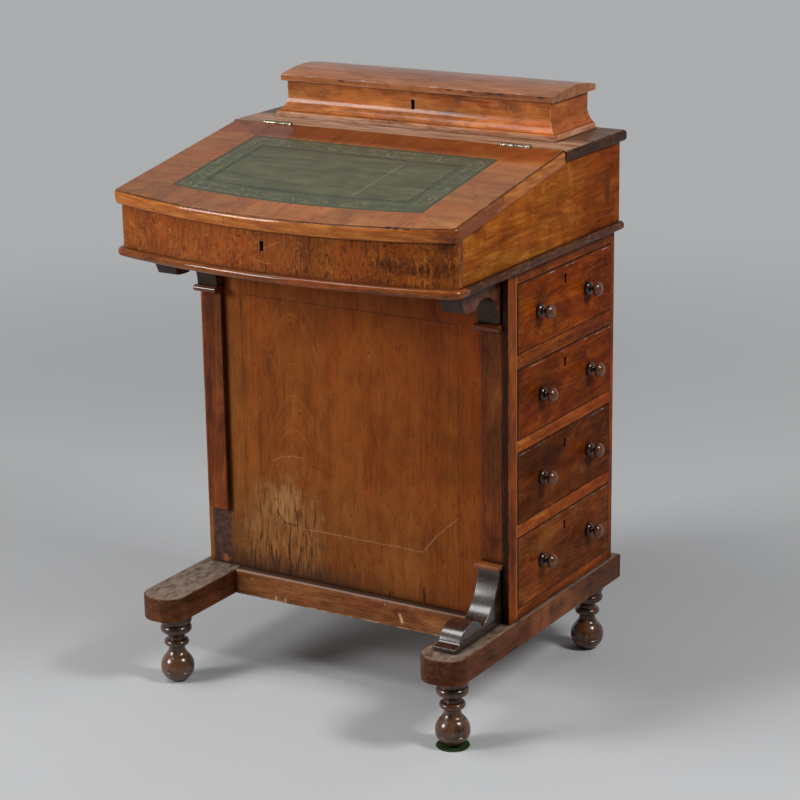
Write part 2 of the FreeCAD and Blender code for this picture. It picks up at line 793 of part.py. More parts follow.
# Half-round bead round the edge of the desk floor, jointed behind its rounded front corners
bead_half = desk_half + S.bead_depth
bead_corner = rail_apex - S.bead_depth + arc_rise(bow_radius + S.bead_depth, bead_half)
bead_blank = padded("bead_blank", "XY_Plane", [
    (-bead_half, carcase_back),
    (-bead_half, bead_corner),
    (bead_half, bead_corner, (bead_corner - rail_apex + S.bead_depth) / bead_half),
    (bead_half, carcase_back),
], S.desk_bottom_thickness)
rounded(bead_blank, "corners", S.rail_corner_radius + S.bead_depth, at_front_corner)
rounded(bead_blank, "edges", S.bead_round_radius,
        lambda box: box.ZLength < box_tolerance and box.YMin < carcase_back.value - box_tolerance)
place(bead_blank, z=pedestal_top)
bead_ring = cut("bead_ring", bead_blank, [desk_bottom])
bead_joint = rail_corner + S.rail_corner_radius + S.bead_depth
for name, ys in (("bead_front", (-half_depth, bead_joint)), ("bead_sides", (bead_joint, carcase_back))):
    span = board(f"{name}_span", (-bead_half, bead_half), ys, (pedestal_top, desk_floor))
    node(common(name, bead_ring, span))


# Butt hinges about X, drawn round their own pin with the leaves hanging down
def hinge(name, leaf_height):
    half = S.hinge_length / 2
    middle = S.hinge_length * hinge_knuckle_share / 2
    fixed_y = (S.hinge_gap / 2, S.hinge_gap / 2 + S.hinge_leaf_thickness)
    moving_y = (-fixed_y[1], -fixed_y[0])
    leaf_x = (-half, half)
    leaf_z = (-leaf_height, ZERO)
    bore_radius = S.hinge_pin_radius + S.hinge_pin_clearance
    room_radius = S.hinge_barrel_radius + S.hinge_clearance
    middle_x = (-middle, middle)
    ends_x = ((-half, -middle - S.hinge_clearance), (middle + S.hinge_clearance, half))
    room_x = (-middle - S.hinge_clearance, middle + S.hinge_clearance)
    bore_x = (-half - S.cut_overrun, half + S.cut_overrun)
    end_rooms = ((bore_x[0], -middle), (middle, bore_x[1]))

    def leaf(part, ys, rooms, knuckles):
        plate = board(f"{name}_{part}_plate", leaf_x, ys, leaf_z)
        cutters = [rod(f"{name}_{part}_room_{index}", room_radius, xs, ZERO, ZERO)
                   for index, xs in enumerate(rooms)]
        cleared = cut(f"{name}_{part}_leaf", plate, cutters)
        barrels = [rod(f"{name}_{part}_barrel_{index}", S.hinge_barrel_radius, xs, ZERO, ZERO)
                   for index, xs in enumerate(knuckles)]
        bore = rod(f"{name}_{part}_bore", bore_radius, bore_x, ZERO, ZERO)
        return cut(f"{name}_{part}", fuse(f"{name}_{part}_knuckles", [cleared] + barrels), [bore])

    fixed = leaf("fixed", fixed_y, (room_x,), ends_x)
    moving = leaf("moving", moving_y, end_rooms, (middle_x,))
    pin = rod(f"{name}_pin", S.hinge_pin_radius, leaf_x, ZERO, ZERO)
    return fixed, moving, pin


def hinge_pair(name, x, y, z, leaf_height, turn):
    """A left and a right hinge: the fixed leaves with their pins, and the moving leaves."""
    fixed_pieces = []
    moving_pieces = []
    for end, across in (("left", -x), ("right", x)):
        fixed, moving, pin = hinge(f"{name}_{end}", leaf_height)
        for piece in (fixed, moving):
            place(turned_about(piece, (1, 0, 0), turn), across, y, z)
        pin_start = across - S.hinge_length / 2
        place(pin, pin_start, y, z)
        fixed_pieces += [fixed, pin]
        moving_pieces.append(moving)
    node(group(f"{name}_fixed", fixed_pieces))
    node(group(f"{name}_moving", moving_pieces))


def hinge_room(name, x, y, z):
    """The notch that clears a hinge's barrel."""
    half = S.hinge_length / 2 + S.hinge_clearance
    return rod(name, S.hinge_barrel_radius + S.hinge_clearance, (x - half, x + half), y, z)


fall_half = desk_half + S.fall_side_lip
fall_hinge_x = desk_half - S.fall_hinge_inset
leaf_reach = S.hinge_gap / 2 + S.hinge_leaf_thickness
hinge_pair("fall_hinge", fall_hinge_x, hinge_line, deck_top, S.fall_leaf_height, 0)


def leaf_recess(name, x, ys, zs):
    half = S.hinge_length / 2
    return board(name, (x - half, x + half), ys, zs)


# Deck board with rounded ends and back
deck_half = desk_half + S.deck_side_lip
deck_front = hinge_line + S.hinge_gap / 2
deck_rear = carcase_back + S.deck_rear_lip
deck_blank = padded("deck_blank", "XY_Plane", [
    (-deck_half, deck_rear),
    (-deck_half, deck_front),
    (deck_half, deck_front),
    (deck_half, deck_rear),
], S.deck_thickness)


def deck_edge(box):
    return box.ZLength < box_tolerance and box.YMax > deck_front.value + box_tolerance


rounded(deck_blank, "edges", S.deck_edge_radius, deck_edge)
place(deck_blank, z=deck_under)
fall_leaf_z = (deck_top - S.fall_leaf_height, deck_top)
deck_cuts = []
for end, x in (("left", -fall_hinge_x), ("right", fall_hinge_x)):
    deck_cuts.append(hinge_room(f"deck_{end}_notch", x, hinge_line, deck_top))
    deck_cuts.append(leaf_recess(f"deck_{end}_recess", x, (hinge_line, hinge_line + leaf_reach), fall_leaf_z))
node(cut("deck_board", deck_blank, deck_cuts))

# Fall: a bow-fronted board lying on the slope, with a leather panel let into it
slope_turn = cosine(S.fall_slope) + sine(S.fall_slope) - 1
fall_length = (hinge_line + half_depth + S.fall_top_radius * slope_turn) / cosine(S.fall_slope)
fall_rise = arc_rise(bow_radius + S.fall_front_lip, fall_half)
fall_corner = fall_rise - fall_length
fall_blank = padded("fall_blank", "XY_Plane", [
    (-fall_half, S.cut_overrun),
    (-fall_half, fall_corner),
    (fall_half, fall_corner, fall_rise / fall_half),
    (fall_half, S.cut_overrun),
], S.fall_thickness, down=True)
rounded(fall_blank, "corners", S.fall_corner_radius,
        lambda box: upright(box) and box.YMax < fall_corner.value + box_tolerance)


def not_rear(box):
    return box.YMin < S.cut_overrun.value - box_tolerance


rounded(fall_blank, "top", S.fall_top_radius, lambda box: flat_at(box, 0) and not_rear(box))
rounded(fall_blank, "under", S.fall_under_radius,
        lambda box: flat_at(box, -S.fall_thickness.value) and not_rear(box))

# A small step sets the flat top of the fall off from its rounded edge
field_half = fall_half - S.fall_step_inset
field_rise = arc_rise(bow_radius + S.fall_front_lip - S.fall_step_inset, field_half)
field_corner = field_rise + S.fall_step_inset - fall_length
fall_field = padded("fall_field", "XY_Plane", [
    (-field_half, S.cut_overrun),
    (-field_half, field_corner),
    (field_half, field_corner, field_rise / field_half),
    (field_half, S.cut_overrun),
], S.fall_step_height, down=True)
rounded(fall_field, "corners", S.fall_corner_radius - S.fall_step_inset,
        lambda box: upright(box) and box.YMax < field_corner.value + box_tolerance)
step_half = fall_half + S.cut_overrun
step_front = -fall_length - S.cut_overrun
step_blank = padded("fall_step_blank", "XY_Plane", [
    (-step_half, S.cut_overrun),
    (-step_half, step_front),
    (step_half, step_front),
    (step_half, S.cut_overrun),
], S.fall_step_height, down=True)

leather_rear = -S.leather_rear_margin
leather_front = leather_rear - S.leather_length
leather_outline = [
    (-S.leather_half_width, leather_rear),
    (-S.leather_half_width, leather_front),
    (S.leather_half_width, leather_front, S.leather_bow / S.leather_half_width),
    (S.leather_half_width, leather_rear),
]


def on_slope(body):
    turned_about(body, (1, 0, 0), S.fall_slope.value)
    bind(body, "Placement.Rotation.Angle", S.fall_slope)
    return place(body, y=hinge_line, z=deck_top)


for piece in (fall_blank, fall_field, step_blank):
    on_slope(piece)
fall_step = cut("fall_step", step_blank, [fall_field])
leather = on_slope(padded("fall_leather", "XY_Plane", leather_outline, S.leather_thickness, down=True))
rear_trim = board("fall_rear_trim", (-fall_half - S.cut_overrun, fall_half + S.cut_overrun),
                  (hinge_line - S.hinge_gap / 2, hinge_line + S.fall_thickness + S.cut_overrun),
                  (deck_under - S.fall_thickness, deck_top + S.fall_thickness))
fall_cuts = [rear_trim]
for end, x in (("left", -fall_hinge_x), ("right", fall_hinge_x)):
    fall_cuts.append(hinge_room(f"fall_{end}_notch", x, hinge_line, deck_top))
    fall_cuts.append(leaf_recess(f"fall_{end}_recess", x, (hinge_line - leaf_reach, hinge_line), fall_leaf_z))
recessed = cut("fall_recessed", fall_blank, [leather, fall_step])
node(cut("fall_board", recessed, fall_cuts))
node(leather)

# Fall lock behind the bowed rail
lock_half = S.lock_width / 2
lock_reach = lock_half + S.keyhole_shift
lock_rise = arc_rise(rail_inner_radius, lock_reach)
fall_lock_front = bow_centre - rail_inner_radius + lock_rise + S.lock_clearance
fall_lock_y = (fall_lock_front, fall_lock_front + S.lock_thickness)
fall_lock_top = under_fall(fall_lock_y[0]) - S.fall_seat_gap


def key_bore(name, x, y, z, depth):
    return keyhole(name, x, y, z, depth, False)[0]


node(lock("fall_lock", (rail_key_x - lock_half, rail_key_x + lock_half), fall_lock_y,
          (fall_lock_top - S.lock_height, fall_lock_top),
          key_bore("fall_lock_bore", rail_key_x, fall_lock_y[0] - S.cut_overrun, rail_key_z,
                   S.lock_thickness + S.cut_overrun * 2)))

# Stationery till: coved walls mitred at the front corners, under a domed lid
till_rear = carcase_back - S.till_back_inset
till_front = till_rear - S.till_depth
till_top = deck_top + S.till_height
till_base_thickness = S.till_flare + S.till_wall
cove_top = S.till_step_height * 2 + S.till_cove_height


def till_outline(face, inward):
    """Section of a till wall: two steps, a cove and a plain upper part, from the outer face inwards."""
    depths = [
        (till_base_thickness, ZERO, 0.0),
        (ZERO, ZERO, 0.0),
        (ZERO, S.till_step_height, 0.0),
        (S.till_step_depth, S.till_step_height, 0.0),
        (S.till_step_depth, S.till_step_height * 2, 0.0),
        (S.till_flare, cove_top, cove_bow_share),
        (S.till_flare, S.till_height, 0.0),
        (till_base_thickness, S.till_height, 0.0),
    ]
    return [(face + depth * inward, height, share * inward) for depth, height, share in depths]


till_half = S.till_half_width
till_z = (deck_top, till_top)
front_bar = padded("till_front_bar", "YZ_Plane", till_outline(till_front, 1), till_half * 2)
place(front_bar, x=-till_half, z=deck_top)
mitre_y = till_front + till_base_thickness
mitre_x = till_half - till_base_thickness
front_mitre = place(padded("till_front_mitre", "XY_Plane", [
    (-till_half, till_front),
    (till_half, till_front),
    (mitre_x, mitre_y),
    (-mitre_x, mitre_y),
], S.till_height), z=deck_top)
till_key_z = deck_top + S.till_height * till_key_share
till_key_x = -S.till_keyhole_shift
till_key = keyhole("till_key", till_key_x, till_front - S.cut_overrun, till_key_z,
                   till_base_thickness + S.cut_overrun * 2, False)
node(cut("till_front", common("till_front_mitred", front_bar, front_mitre), till_key))

till_sides = []
for name, side in (("left", -1), ("right", 1)):
    outline = till_outline(till_half * side, -side)
    side_bar = place(padded(f"till_{name}_bar", "XZ_Plane", outline, S.till_depth), y=till_rear, z=deck_top)
    side_mitre = place(padded(f"till_{name}_mitre", "XY_Plane", [
        (till_half * side, till_front),
        (till_half * side, till_rear),
        (mitre_x * side, till_rear),
        (mitre_x * side, mitre_y),
    ], S.till_height), z=deck_top)
    till_sides.append(common(f"till_side_{name}", side_bar, side_mitre))
node(group("till_sides", till_sides))

till_hinge_x = till_half - S.till_hinge_inset
till_hinge_y = till_rear + S.till_barrel_offset
till_hinge_z = till_top + S.hinge_gap / 2
hinge_pair("till_hinge", till_hinge_x, till_hinge_y, till_hinge_z, S.till_leaf_height, -90)
leaf_y = (till_hinge_y - S.till_leaf_height, till_hinge_y)
under_leaf_z = (till_hinge_z - leaf_reach, till_hinge_z)
over_leaf_z = (till_hinge_z, till_hinge_z + leaf_reach)
back_cuts = []
lid_cuts = []
for end, x in (("left", -till_hinge_x), ("right", till_hinge_x)):
    back_cuts.append(leaf_recess(f"till_back_{end}_recess", x, leaf_y, under_leaf_z))
    back_cuts.append(hinge_room(f"till_back_{end}_notch", x, till_hinge_y, till_hinge_z))
    lid_cuts.append(leaf_recess(f"till_lid_{end}_recess", x, leaf_y, over_leaf_z))
    lid_cuts.append(hinge_room(f"till_lid_{end}_notch", x, till_hinge_y, till_hinge_z))
till_back_y = (till_rear - S.till_wall, till_rear)
node(cut("till_back", board("till_back_blank", (-mitre_x, mitre_x), till_back_y, till_z), back_cuts))

lid_front = till_front + S.till_flare - S.till_lid_front_lip
lid_rear = till_rear + S.till_lid_rear_lip
lid_half = till_half - S.till_flare + S.till_lid_front_lip
lid_span = lid_rear - lid_front
lid_blank = place(padded("till_lid_blank", "YZ_Plane", [
    (lid_front, ZERO),
    (lid_rear, ZERO),
    (lid_rear, S.till_lid_edge),
    (lid_front, S.till_lid_edge, S.till_lid_dome * 2 / lid_span),
], lid_half * 2), x=-lid_half, z=till_top + S.hinge_gap)
node(cut("till_lid", lid_blank, lid_cuts))

till_lock_y = (mitre_y, mitre_y + S.lock_thickness)
till_lock_top = till_top - S.hinge_gap
node(lock("till_lock", (till_key_x - lock_half, till_key_x + lock_half), till_lock_y,
          (till_lock_top - S.till_lock_height, till_lock_top),
          key_bore("till_lock_bore", till_key_x, mitre_y - S.cut_overrun, till_key_z,
                   S.lock_thickness + S.cut_overrun * 2)))

doc.recompute()
for item in doc.Objects:
    if {"Invalid", "Error"} & set(item.State):
        raise RuntimeError(f"{item.Label} failed: {item.State}")
for item in nodes:
    if item.Shape.isNull() or not item.Shape.isValid() or not item.Shape.Solids:
        raise RuntimeError(f"{item.Label} has no valid solid")

os.makedirs("parts", exist_ok=True)
for item in nodes:
    item.Shape.exportStep(f"parts/{item.Label}.step")
print(len(nodes), "pieces written")
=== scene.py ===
"""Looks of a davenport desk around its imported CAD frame: old polished wood, leather, brass and felt."""

import math

import bmesh
import bpy
from mathutils import Matrix, Vector, noise


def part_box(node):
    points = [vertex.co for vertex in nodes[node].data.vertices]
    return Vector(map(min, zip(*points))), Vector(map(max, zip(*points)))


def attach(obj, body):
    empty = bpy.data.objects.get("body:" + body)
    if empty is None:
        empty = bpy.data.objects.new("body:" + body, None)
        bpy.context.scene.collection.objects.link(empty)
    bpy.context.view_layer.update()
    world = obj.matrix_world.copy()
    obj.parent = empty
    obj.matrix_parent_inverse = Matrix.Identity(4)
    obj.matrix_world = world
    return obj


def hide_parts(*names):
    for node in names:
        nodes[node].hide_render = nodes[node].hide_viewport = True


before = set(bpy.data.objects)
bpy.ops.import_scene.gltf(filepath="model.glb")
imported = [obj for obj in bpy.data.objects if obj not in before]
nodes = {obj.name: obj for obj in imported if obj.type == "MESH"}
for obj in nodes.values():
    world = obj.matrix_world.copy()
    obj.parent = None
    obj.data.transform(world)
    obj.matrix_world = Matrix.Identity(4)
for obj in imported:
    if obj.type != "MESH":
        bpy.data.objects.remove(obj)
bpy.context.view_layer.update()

X, Y, Z = 0, 1, 2

MM = 0.001

# Places of the desk in metres, as the CAD frame has them
HINGE_LINE = Vector((0.0, 0.067, 0.777))
FALL_SLOPE = math.radians(9.6)
FALL_HALF = 0.27
FALL_THICKNESS = 0.02
LEATHER_HALF = 0.197
LEATHER_REAR = 0.054
LEATHER_FRONT = 0.257
LEATHER_BOW = 0.018
LEATHER_THICKNESS = 0.0012
GILT_LINES = (0.008, 0.027)
TOOLED_LINES = (0.0355, 0.0385)
BARE_PLACE = {X: (-0.262, -0.212), Z: (0.141, 0.227)}


class Value:
    """An output socket that can be reckoned with: each operation adds a Math node beside it."""

    def __init__(self, graph, socket):
        self.graph, self.socket = graph, socket

    def __add__(self, other):
        return self.graph.math("ADD", self, other)

    def __sub__(self, other):
        return self.graph.math("SUBTRACT", self, other)

    def __rsub__(self, other):
        return self.graph.math("SUBTRACT", other, self)

    def __mul__(self, other):
        return self.graph.math("MULTIPLY", self, other)

    def __abs__(self):
        return self.graph.math("ABSOLUTE", self)

    __radd__, __rmul__ = __add__, __mul__


class Graph:
    """A node tree under construction: its methods add nodes and return their outputs."""

    def __init__(self, tree):
        self.tree = tree

    def add(self, kind, inputs=None, output=0, **settings):
        made = self.tree.nodes.new("ShaderNode" + kind)
        for key, value in settings.items():
            setattr(made, key, value)
        for key, value in (inputs or {}).items():
            self.feed(made.inputs[key], value)
        return Value(self, made.outputs[output])

    def feed(self, socket, value):
        if isinstance(value, Value):
            self.tree.links.new(value.socket, socket)
        else:
            socket.default_value = value

    def math(self, operation, first, second=0.0):
        return self.add("Math", {0: first, 1: second}, operation=operation)

    def most(self, first, second):
        return self.math("MAXIMUM", first, second)

    def least(self, first, second):
        return self.math("MINIMUM", first, second)

    def vector(self, operation, first, second=(0.0, 0.0, 0.0), output="Vector"):
        return self.add("VectorMath", {0: first, 1: second}, output, operation=operation)

    def span(self, value, low, high, full=1.0, start=0.0):
        """Goes smoothly from start at low to full at high, and stays between the two."""
        inputs = {"Value": value, "From Min": low, "From Max": high, "To Min": start, "To Max": full}
        return self.add("MapRange", inputs, interpolation_type="SMOOTHSTEP")

    def seen(self, glossy=1.0):
        """1 for rays from the camera, and a share for rays off gloss."""
        return self.most(self.add("LightPath", output="Is Camera Ray"),
                         self.add("LightPath", output="Is Glossy Ray") * glossy)


class Paint(Graph):
    """A material under construction, with the patterns and masks that it is made of."""

    def __init__(self, name):
        self.material = bpy.data.materials.new(name)
        self.material.use_nodes = True
        super().__init__(self.material.node_tree)
        self.shader = self.tree.nodes["Principled BSDF"]
        self.place = self.add("TexCoord", output="Object")
        self.parts = [self.add("SeparateXYZ", {"Vector": self.place}, axis) for axis in (X, Y, Z)]
        self.x, self.y, self.z = self.parts
        self.colour = None

    def mix(self, first, second, amount, blend="MIX"):
        inputs = {0: amount}
        for socket, colour in ((6, first), (7, second)):
            inputs[socket] = colour if isinstance(colour, Value) else (*colour, 1.0)
        return self.add("Mix", inputs, 2, data_type="RGBA", blend_type=blend)

    def lay(self, tone, amount, *limits, blend="MIX"):
        """Lays a tone over the colour so far, by an amount or by the span of a value between limits."""
        amount = self.span(amount, *limits) if limits else amount
        self.colour = self.mix(self.colour, tone, amount, blend)

    def tint(self, factors, amount, *limits):
        self.lay(factors, amount, *limits, blend="MULTIPLY")

    def scale(self, factor):
        self.colour = self.add("VectorMath", {0: self.colour, "Scale": factor}, operation="SCALE")

    def ramp(self, value, stops):
        made = self.add("ValToRGB", {"Fac": value}, "Color")
        elements = made.socket.node.color_ramp.elements
        while len(elements) < len(stops):
            elements.new(1.0)
        for element, (position, colour) in zip(elements, stops):
            element.position = position
            element.color = (*colour, 1.0)
        return made

    def stretched(self, scale, shift=(0.0, 0.0, 0.0), place=None, turn=(0.0, 0.0, 0.0)):
        inputs = {"Vector": place or self.place, "Scale": scale, "Location": shift, "Rotation": turn}
        return self.add("Mapping", inputs)

    def noise(self, scale, detail=3.0, rough=0.55, distortion=0.0, place=None, stretch=None):
        place = self.stretched(stretch) if stretch else place or self.place
        inputs = {"Vector": place, "Scale": scale, "Detail": detail, "Roughness": rough,
                  "Distortion": distortion}
        return self.add("TexNoise", inputs, "Fac")

    def bands(self, distance, scale, detail=2.0, rough=0.6):
        """Uneven bands at equal distances from a line, as the rings of a tree are."""
        inputs = {"W": distance, "Scale": scale, "Detail": detail, "Roughness": rough}
        return self.add("TexNoise", inputs, "Fac", noise_dimensions="1D")

    def cells(self, scale, place=None):
        return self.add("TexVoronoi", {"Vector": place or self.place, "Scale": scale}, "Distance")

    def specks(self, scale, size, share, shift):
        """Mask of small round spots, kept in only a share of the cells."""
        distance = self.cells(scale, self.stretched((1.0, 1.0, 1.0), shift))
        colour = Value(self, distance.socket.node.outputs["Color"])
        pick = self.add("SeparateXYZ", {"Vector": colour})
        return self.span(distance, size, size * 0.6) * self.math("LESS_THAN", pick, share)

    def within(self, value, low, high, soft):
        """Mask of the stretch of a value between low and high."""
        return self.span(value, low - soft, low + soft) * self.span(value, high + soft, high - soft)

    def box(self, limits, soft):
        """Mask of a region between low and high along each named axis."""
        mask = 1.0
        for axis, (low, high) in limits.items():
            mask = mask * self.within(self.parts[axis], low, high, soft)
        return mask

    def spot(self, centre, radii, ragged=0.5, scale=45.0, axes=(X, Z)):
        """Mask of a soft patch with a ragged outline."""
        total = 0.0
        for axis, middle, radius in zip(axes, centre, radii):
            offset = (self.parts[axis] - middle) * (1.0 / radius)
            total = total + offset * offset
        sway = (self.noise(scale, 5.0, 0.65) - 0.5) * (2.4 * ragged)
        return self.span(total + sway, 1.15, 0.35)

    def stroke(self, axes, start, end, width, wobble):
        """Mask of a thin line between two points of the plane of the two axes."""
        sway = (self.noise(60.0) - 0.5) * wobble
        across, up = (self.parts[axis] + sway - begin for axis, begin in zip(axes, start))
        run = Vector(end) - Vector(start)
        length = run.length
        run.normalize()
        along = across * run.x + up * run.y
        off = abs(up * run.x - across * run.y)
        ends = self.span(along, -width, width) * self.span(along, length + width, length - width)
        return self.span(off, width, width * 0.35) * ends

    def draw(self, lines, tone, amount, wobble=0.004, axes=(X, Z)):
        """Lays thin lines over the colour so far: each is its start, its end and its width in millimetres."""
        mask = 0.0
        for line in lines:
            *ends, width = (MM * part for part in line)
            mask = self.most(self.stroke(axes, ends[:2], ends[2:], width, wobble), mask)
        broken = self.span(self.noise(150.0), 0.36, 0.56, start=0.35)
        self.lay(tone, mask * broken * amount)

    def normal(self, axis):
        return self.add("SeparateXYZ", {"Vector": self.add("NewGeometry", output="Normal")}, axis)

    def facing_up(self):
        return self.span(self.normal(Z), 0.7, 0.95)

    def slope(self):
        """Down the fall from its hinge line, and out from its top."""
        behind, rise = self.y - HINGE_LINE.y, self.z - HINGE_LINE.z
        cosine, sine = math.cos(FALL_SLOPE), math.sin(FALL_SLOPE)
        return behind * -cosine + rise * -sine, behind * -sine + rise * cosine

    def worn_and_lit_edges(self, radius):
        """Mask of the edges that stand out, broken up as if rubbed; the pale tone laid there is wear and a
        painted highlight on the arrises.
        """
        rounded = self.add("Bevel", {"Radius": radius}, samples=6)
        agreement = self.vector("DOT_PRODUCT", rounded, self.add("NewGeometry", output="Normal"), "Value")
        return self.span(agreement, 0.985, 0.86) * self.span(self.noise(70.0, 5.0, 0.65), 0.4, 0.62)

    def crevices(self, distance):
        """Mask of the corners and joins, for gathered dirt and for painted shade."""
        return self.span(self.add("AmbientOcclusion", {"Distance": distance}, "AO", samples=6), 0.85, 0.35)

    def bump(self, height, strength, distance=0.0006):
        made = self.add("Bump", {"Height": height, "Strength": strength, "Distance": distance})
        self.feed(self.shader.inputs["Normal"], made)

    def surface(self, rough, **constants):
        self.feed(self.shader.inputs["Base Color"], self.colour)
        self.feed(self.shader.inputs["Roughness"], rough)
        for key, value in constants.items():
            self.shader.inputs[key.replace("_", " ").title().replace("Ior", "IOR")].default_value = value
        return self.material


def grown(tone, factor):
    return tuple(min(1.0, part * factor) for part in tone)


def tinted(tone, factors):
    return tuple(part * factor for part, factor in zip(tone, factors))


# Tints that shift a wood's hue here and there.
OLIVE = (0.86, 1.06, 1.0)
RUDDY = (1.02, 0.8, 0.7)


def pith(names, along, seed):
    """A line beside the first of the pieces for the rings of its wood to lie round."""
    low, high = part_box(names.split()[0])
    size = high - low
    thin = min((axis for axis in (X, Y, Z) if axis != along), key=lambda axis: size[axis])
    wide = X + Y + Z - along - thin
    point = (low + high) / 2.0
    point[thin] += math.copysign(0.085, math.sin(seed * 5.3))
    point[wide] += 0.3 * size[wide] * math.sin(seed * 3.1)
    direction = Vector()
    direction[along] = 1.0
    direction[thin] = 0.07 * math.cos(seed * 1.7)
    direction[wide] = 0.03 * math.sin(seed * 2.3)
    return point, direction.normalized()


def wood(name, tones, along, seed, line, rough=0.42, coat=0.0, glaze=0.1, specular=0.12, wear=0.55, grime_and_shade=0.8,
         figure=1.0, cloud=1.0, worms=0.02, marks=None, bend=None, polish=None):
    """Old polished wood with its grain along one axis: tones are dark, middle, light and worn."""
    dark, middle, light, worn = tones
    paint = Paint(name)
    shift = (seed * 1.37, seed * 2.11, seed * 0.73)
    place = bend(paint) if bend else paint.place
    around = paint.stretched((1.0, 1.0, 1.0), shift)

    def grained(share):
        return paint.stretched([share if axis == along else 1.0 for axis in (X, Y, Z)], shift, place)

    lengthwise, hairs, dashes, patches = map(grained, (0.12, 0.05, 0.14, 0.4))

    # Rings about the pith, fibres, flecks and pores
    sway = (paint.noise(26.0, 4.0, 0.6, place=lengthwise) - 0.5) * 0.045
    offset = paint.vector("SUBTRACT", place, line[0])
    distance = paint.vector("LENGTH", paint.vector("CROSS_PRODUCT", offset, line[1]), output="Value") + sway
    broad = paint.bands(distance, 36.0)
    rings = paint.bands(distance, 190.0, 3.0, 0.65)
    fibres = paint.noise(380.0, 3.0, 0.6, place=hairs)
    mottle = paint.noise(44.0, 6.0, 0.68, 0.8, place=patches)
    flecks = paint.noise(430.0, 3.0, 0.65, place=dashes)
    pores = paint.span(flecks, 0.58, 0.7)
    tone = broad * 0.22 + rings * 0.16 + fibres * 0.2 + mottle * 0.42
    spread = 0.095 / figure
    paint.colour = paint.ramp(tone, [(0.5 - spread, dark), (0.5, middle), (0.5 + spread, light)])

    # Hue, clouds and stains
    hue = paint.noise(27.0, 3.0, 0.6, place=lengthwise)
    paint.tint(OLIVE, hue, 0.52, 0.68, min(1.0, cloud))
    paint.tint(RUDDY, hue, 0.48, 0.34, min(1.0, cloud))
    clouds = paint.noise(10.0, 4.0, 0.6, place=around)
    paint.scale(paint.span(clouds, 0.34, 0.66, 1.0 + 0.24 * cloud, start=1.0 - 0.3 * cloud))
    stains = paint.noise(38.0, 6.0, 0.7, place=around)
    paint.lay(grown(dark, 0.6), stains, 0.57, 0.74, 0.6 * cloud)
    paint.lay(light, flecks, 0.42, 0.3, 0.45)
    paint.lay(grown(dark, 0.5), pores * 0.52)
    if marks:
        marks(paint)

    # Nicks, worm holes, rubbed edges with a painted highlight on them, and dirt with painted shade in corners
    # and joins
    paint.lay(worn, paint.specks(75.0, 0.11, 0.08, (seed, 0.3, 0.9)) * 0.6)
    holes = paint.specks(120.0, 0.2, worms, shift)
    paint.lay(grown(dark, 0.12), holes * 0.9)
    # Pale edges: wear and a painted highlight along the arrises
    paint.lay(worn, paint.worn_and_lit_edges(0.0022) * wear)
    # Dark corners and joins: gathered dirt and painted shade, found by ambient occlusion
    dirt_and_shade = paint.crevices(0.012) * grime_and_shade
    paint.lay(grown(dark, 0.12), dirt_and_shade)

    shine = stains * 0.2 + pores * 0.1 + (rough - 0.1) + dirt_and_shade * 0.25
    dents = paint.noise(240.0, 4.0, 0.6)
    height = fibres * 0.25 + dents * 0.5 - (pores * 0.35 + holes * 1.5)
    paint.bump(height, 0.3)
    if polish:
        paint.feed(paint.shader.inputs["Coat Weight"], polish(paint) * coat)
    return paint.surface(shine, coat_weight=coat, coat_roughness=glaze, specular_ior_level=specular)


# Tones of the woods: dark, middle, light and worn.
PANEL_WOOD = ((0.126, 0.0279, 0.0036), (0.2295, 0.0576, 0.008), (0.3015, 0.09, 0.0152), (0.4, 0.19, 0.08))
GOLDEN_WOOD = ((0.19, 0.043, 0.004), (0.33, 0.088, 0.008), (0.44, 0.145, 0.018), (0.46, 0.22, 0.07))
BURR_WOOD = ((0.1516, 0.0296, 0.0031), (0.2514, 0.0563, 0.0055), (0.3192, 0.0889, 0.0124), (0.48, 0.24, 0.09))
STILE_WOOD = ((0.0902, 0.0154, 0.0017), (0.1845, 0.035, 0.0036), (0.2788, 0.0686, 0.0092), (0.5, 0.27, 0.12))
RAIL_WOOD = ((0.114, 0.0216, 0.0021), (0.2232, 0.0486, 0.0059), (0.3325, 0.0972, 0.0145), (0.46, 0.24, 0.1))
DRAWER_WOOD = ((0.085, 0.014, 0.001), (0.17, 0.03, 0.0024), (0.27, 0.064, 0.0065), (0.34, 0.15, 0.06))
PILASTER_WOOD = ((0.069, 0.0135, 0.0022), (0.138, 0.0306, 0.0048), (0.1978, 0.0522, 0.0094),
                 (0.34, 0.15, 0.07))
UMBER_WOOD = ((0.0392, 0.0113, 0.0038), (0.0902, 0.0264, 0.0079), (0.145, 0.0498, 0.0165), (0.46, 0.32, 0.22))
BEAD_WOOD = ((0.0828, 0.0187, 0.0026), (0.1748, 0.0453, 0.0068), (0.2576, 0.081, 0.0158), (0.46, 0.32, 0.22))
DECK_WOOD = ((0.0209, 0.0075, 0.003), (0.0437, 0.0158, 0.0066), (0.0779, 0.03, 0.0132), (0.34, 0.24, 0.17))
TILL_WOOD = ((0.275, 0.0694, 0.013), (0.462, 0.1333, 0.0283), (0.572, 0.1994, 0.0543), (0.6, 0.36, 0.22))
LID_WOOD = ((0.1615, 0.0427, 0.0095), (0.304, 0.095, 0.0228), (0.4085, 0.1568, 0.0494), (0.6, 0.4, 0.26))
BORDER_WOOD = ((0.2146, 0.0582, 0.0114), (0.29, 0.0896, 0.019), (0.3654, 0.1288, 0.0314), (0.5, 0.27, 0.12))
PLINTH_WOOD = ((0.115, 0.0322, 0.009), (0.23, 0.0759, 0.021), (0.3335, 0.1265, 0.04), (0.56, 0.42, 0.3))
FOOT_WOOD = ((0.0264, 0.0095, 0.0042), (0.0748, 0.0278, 0.0102), (0.1451, 0.059, 0.0211), (0.4, 0.25, 0.15))
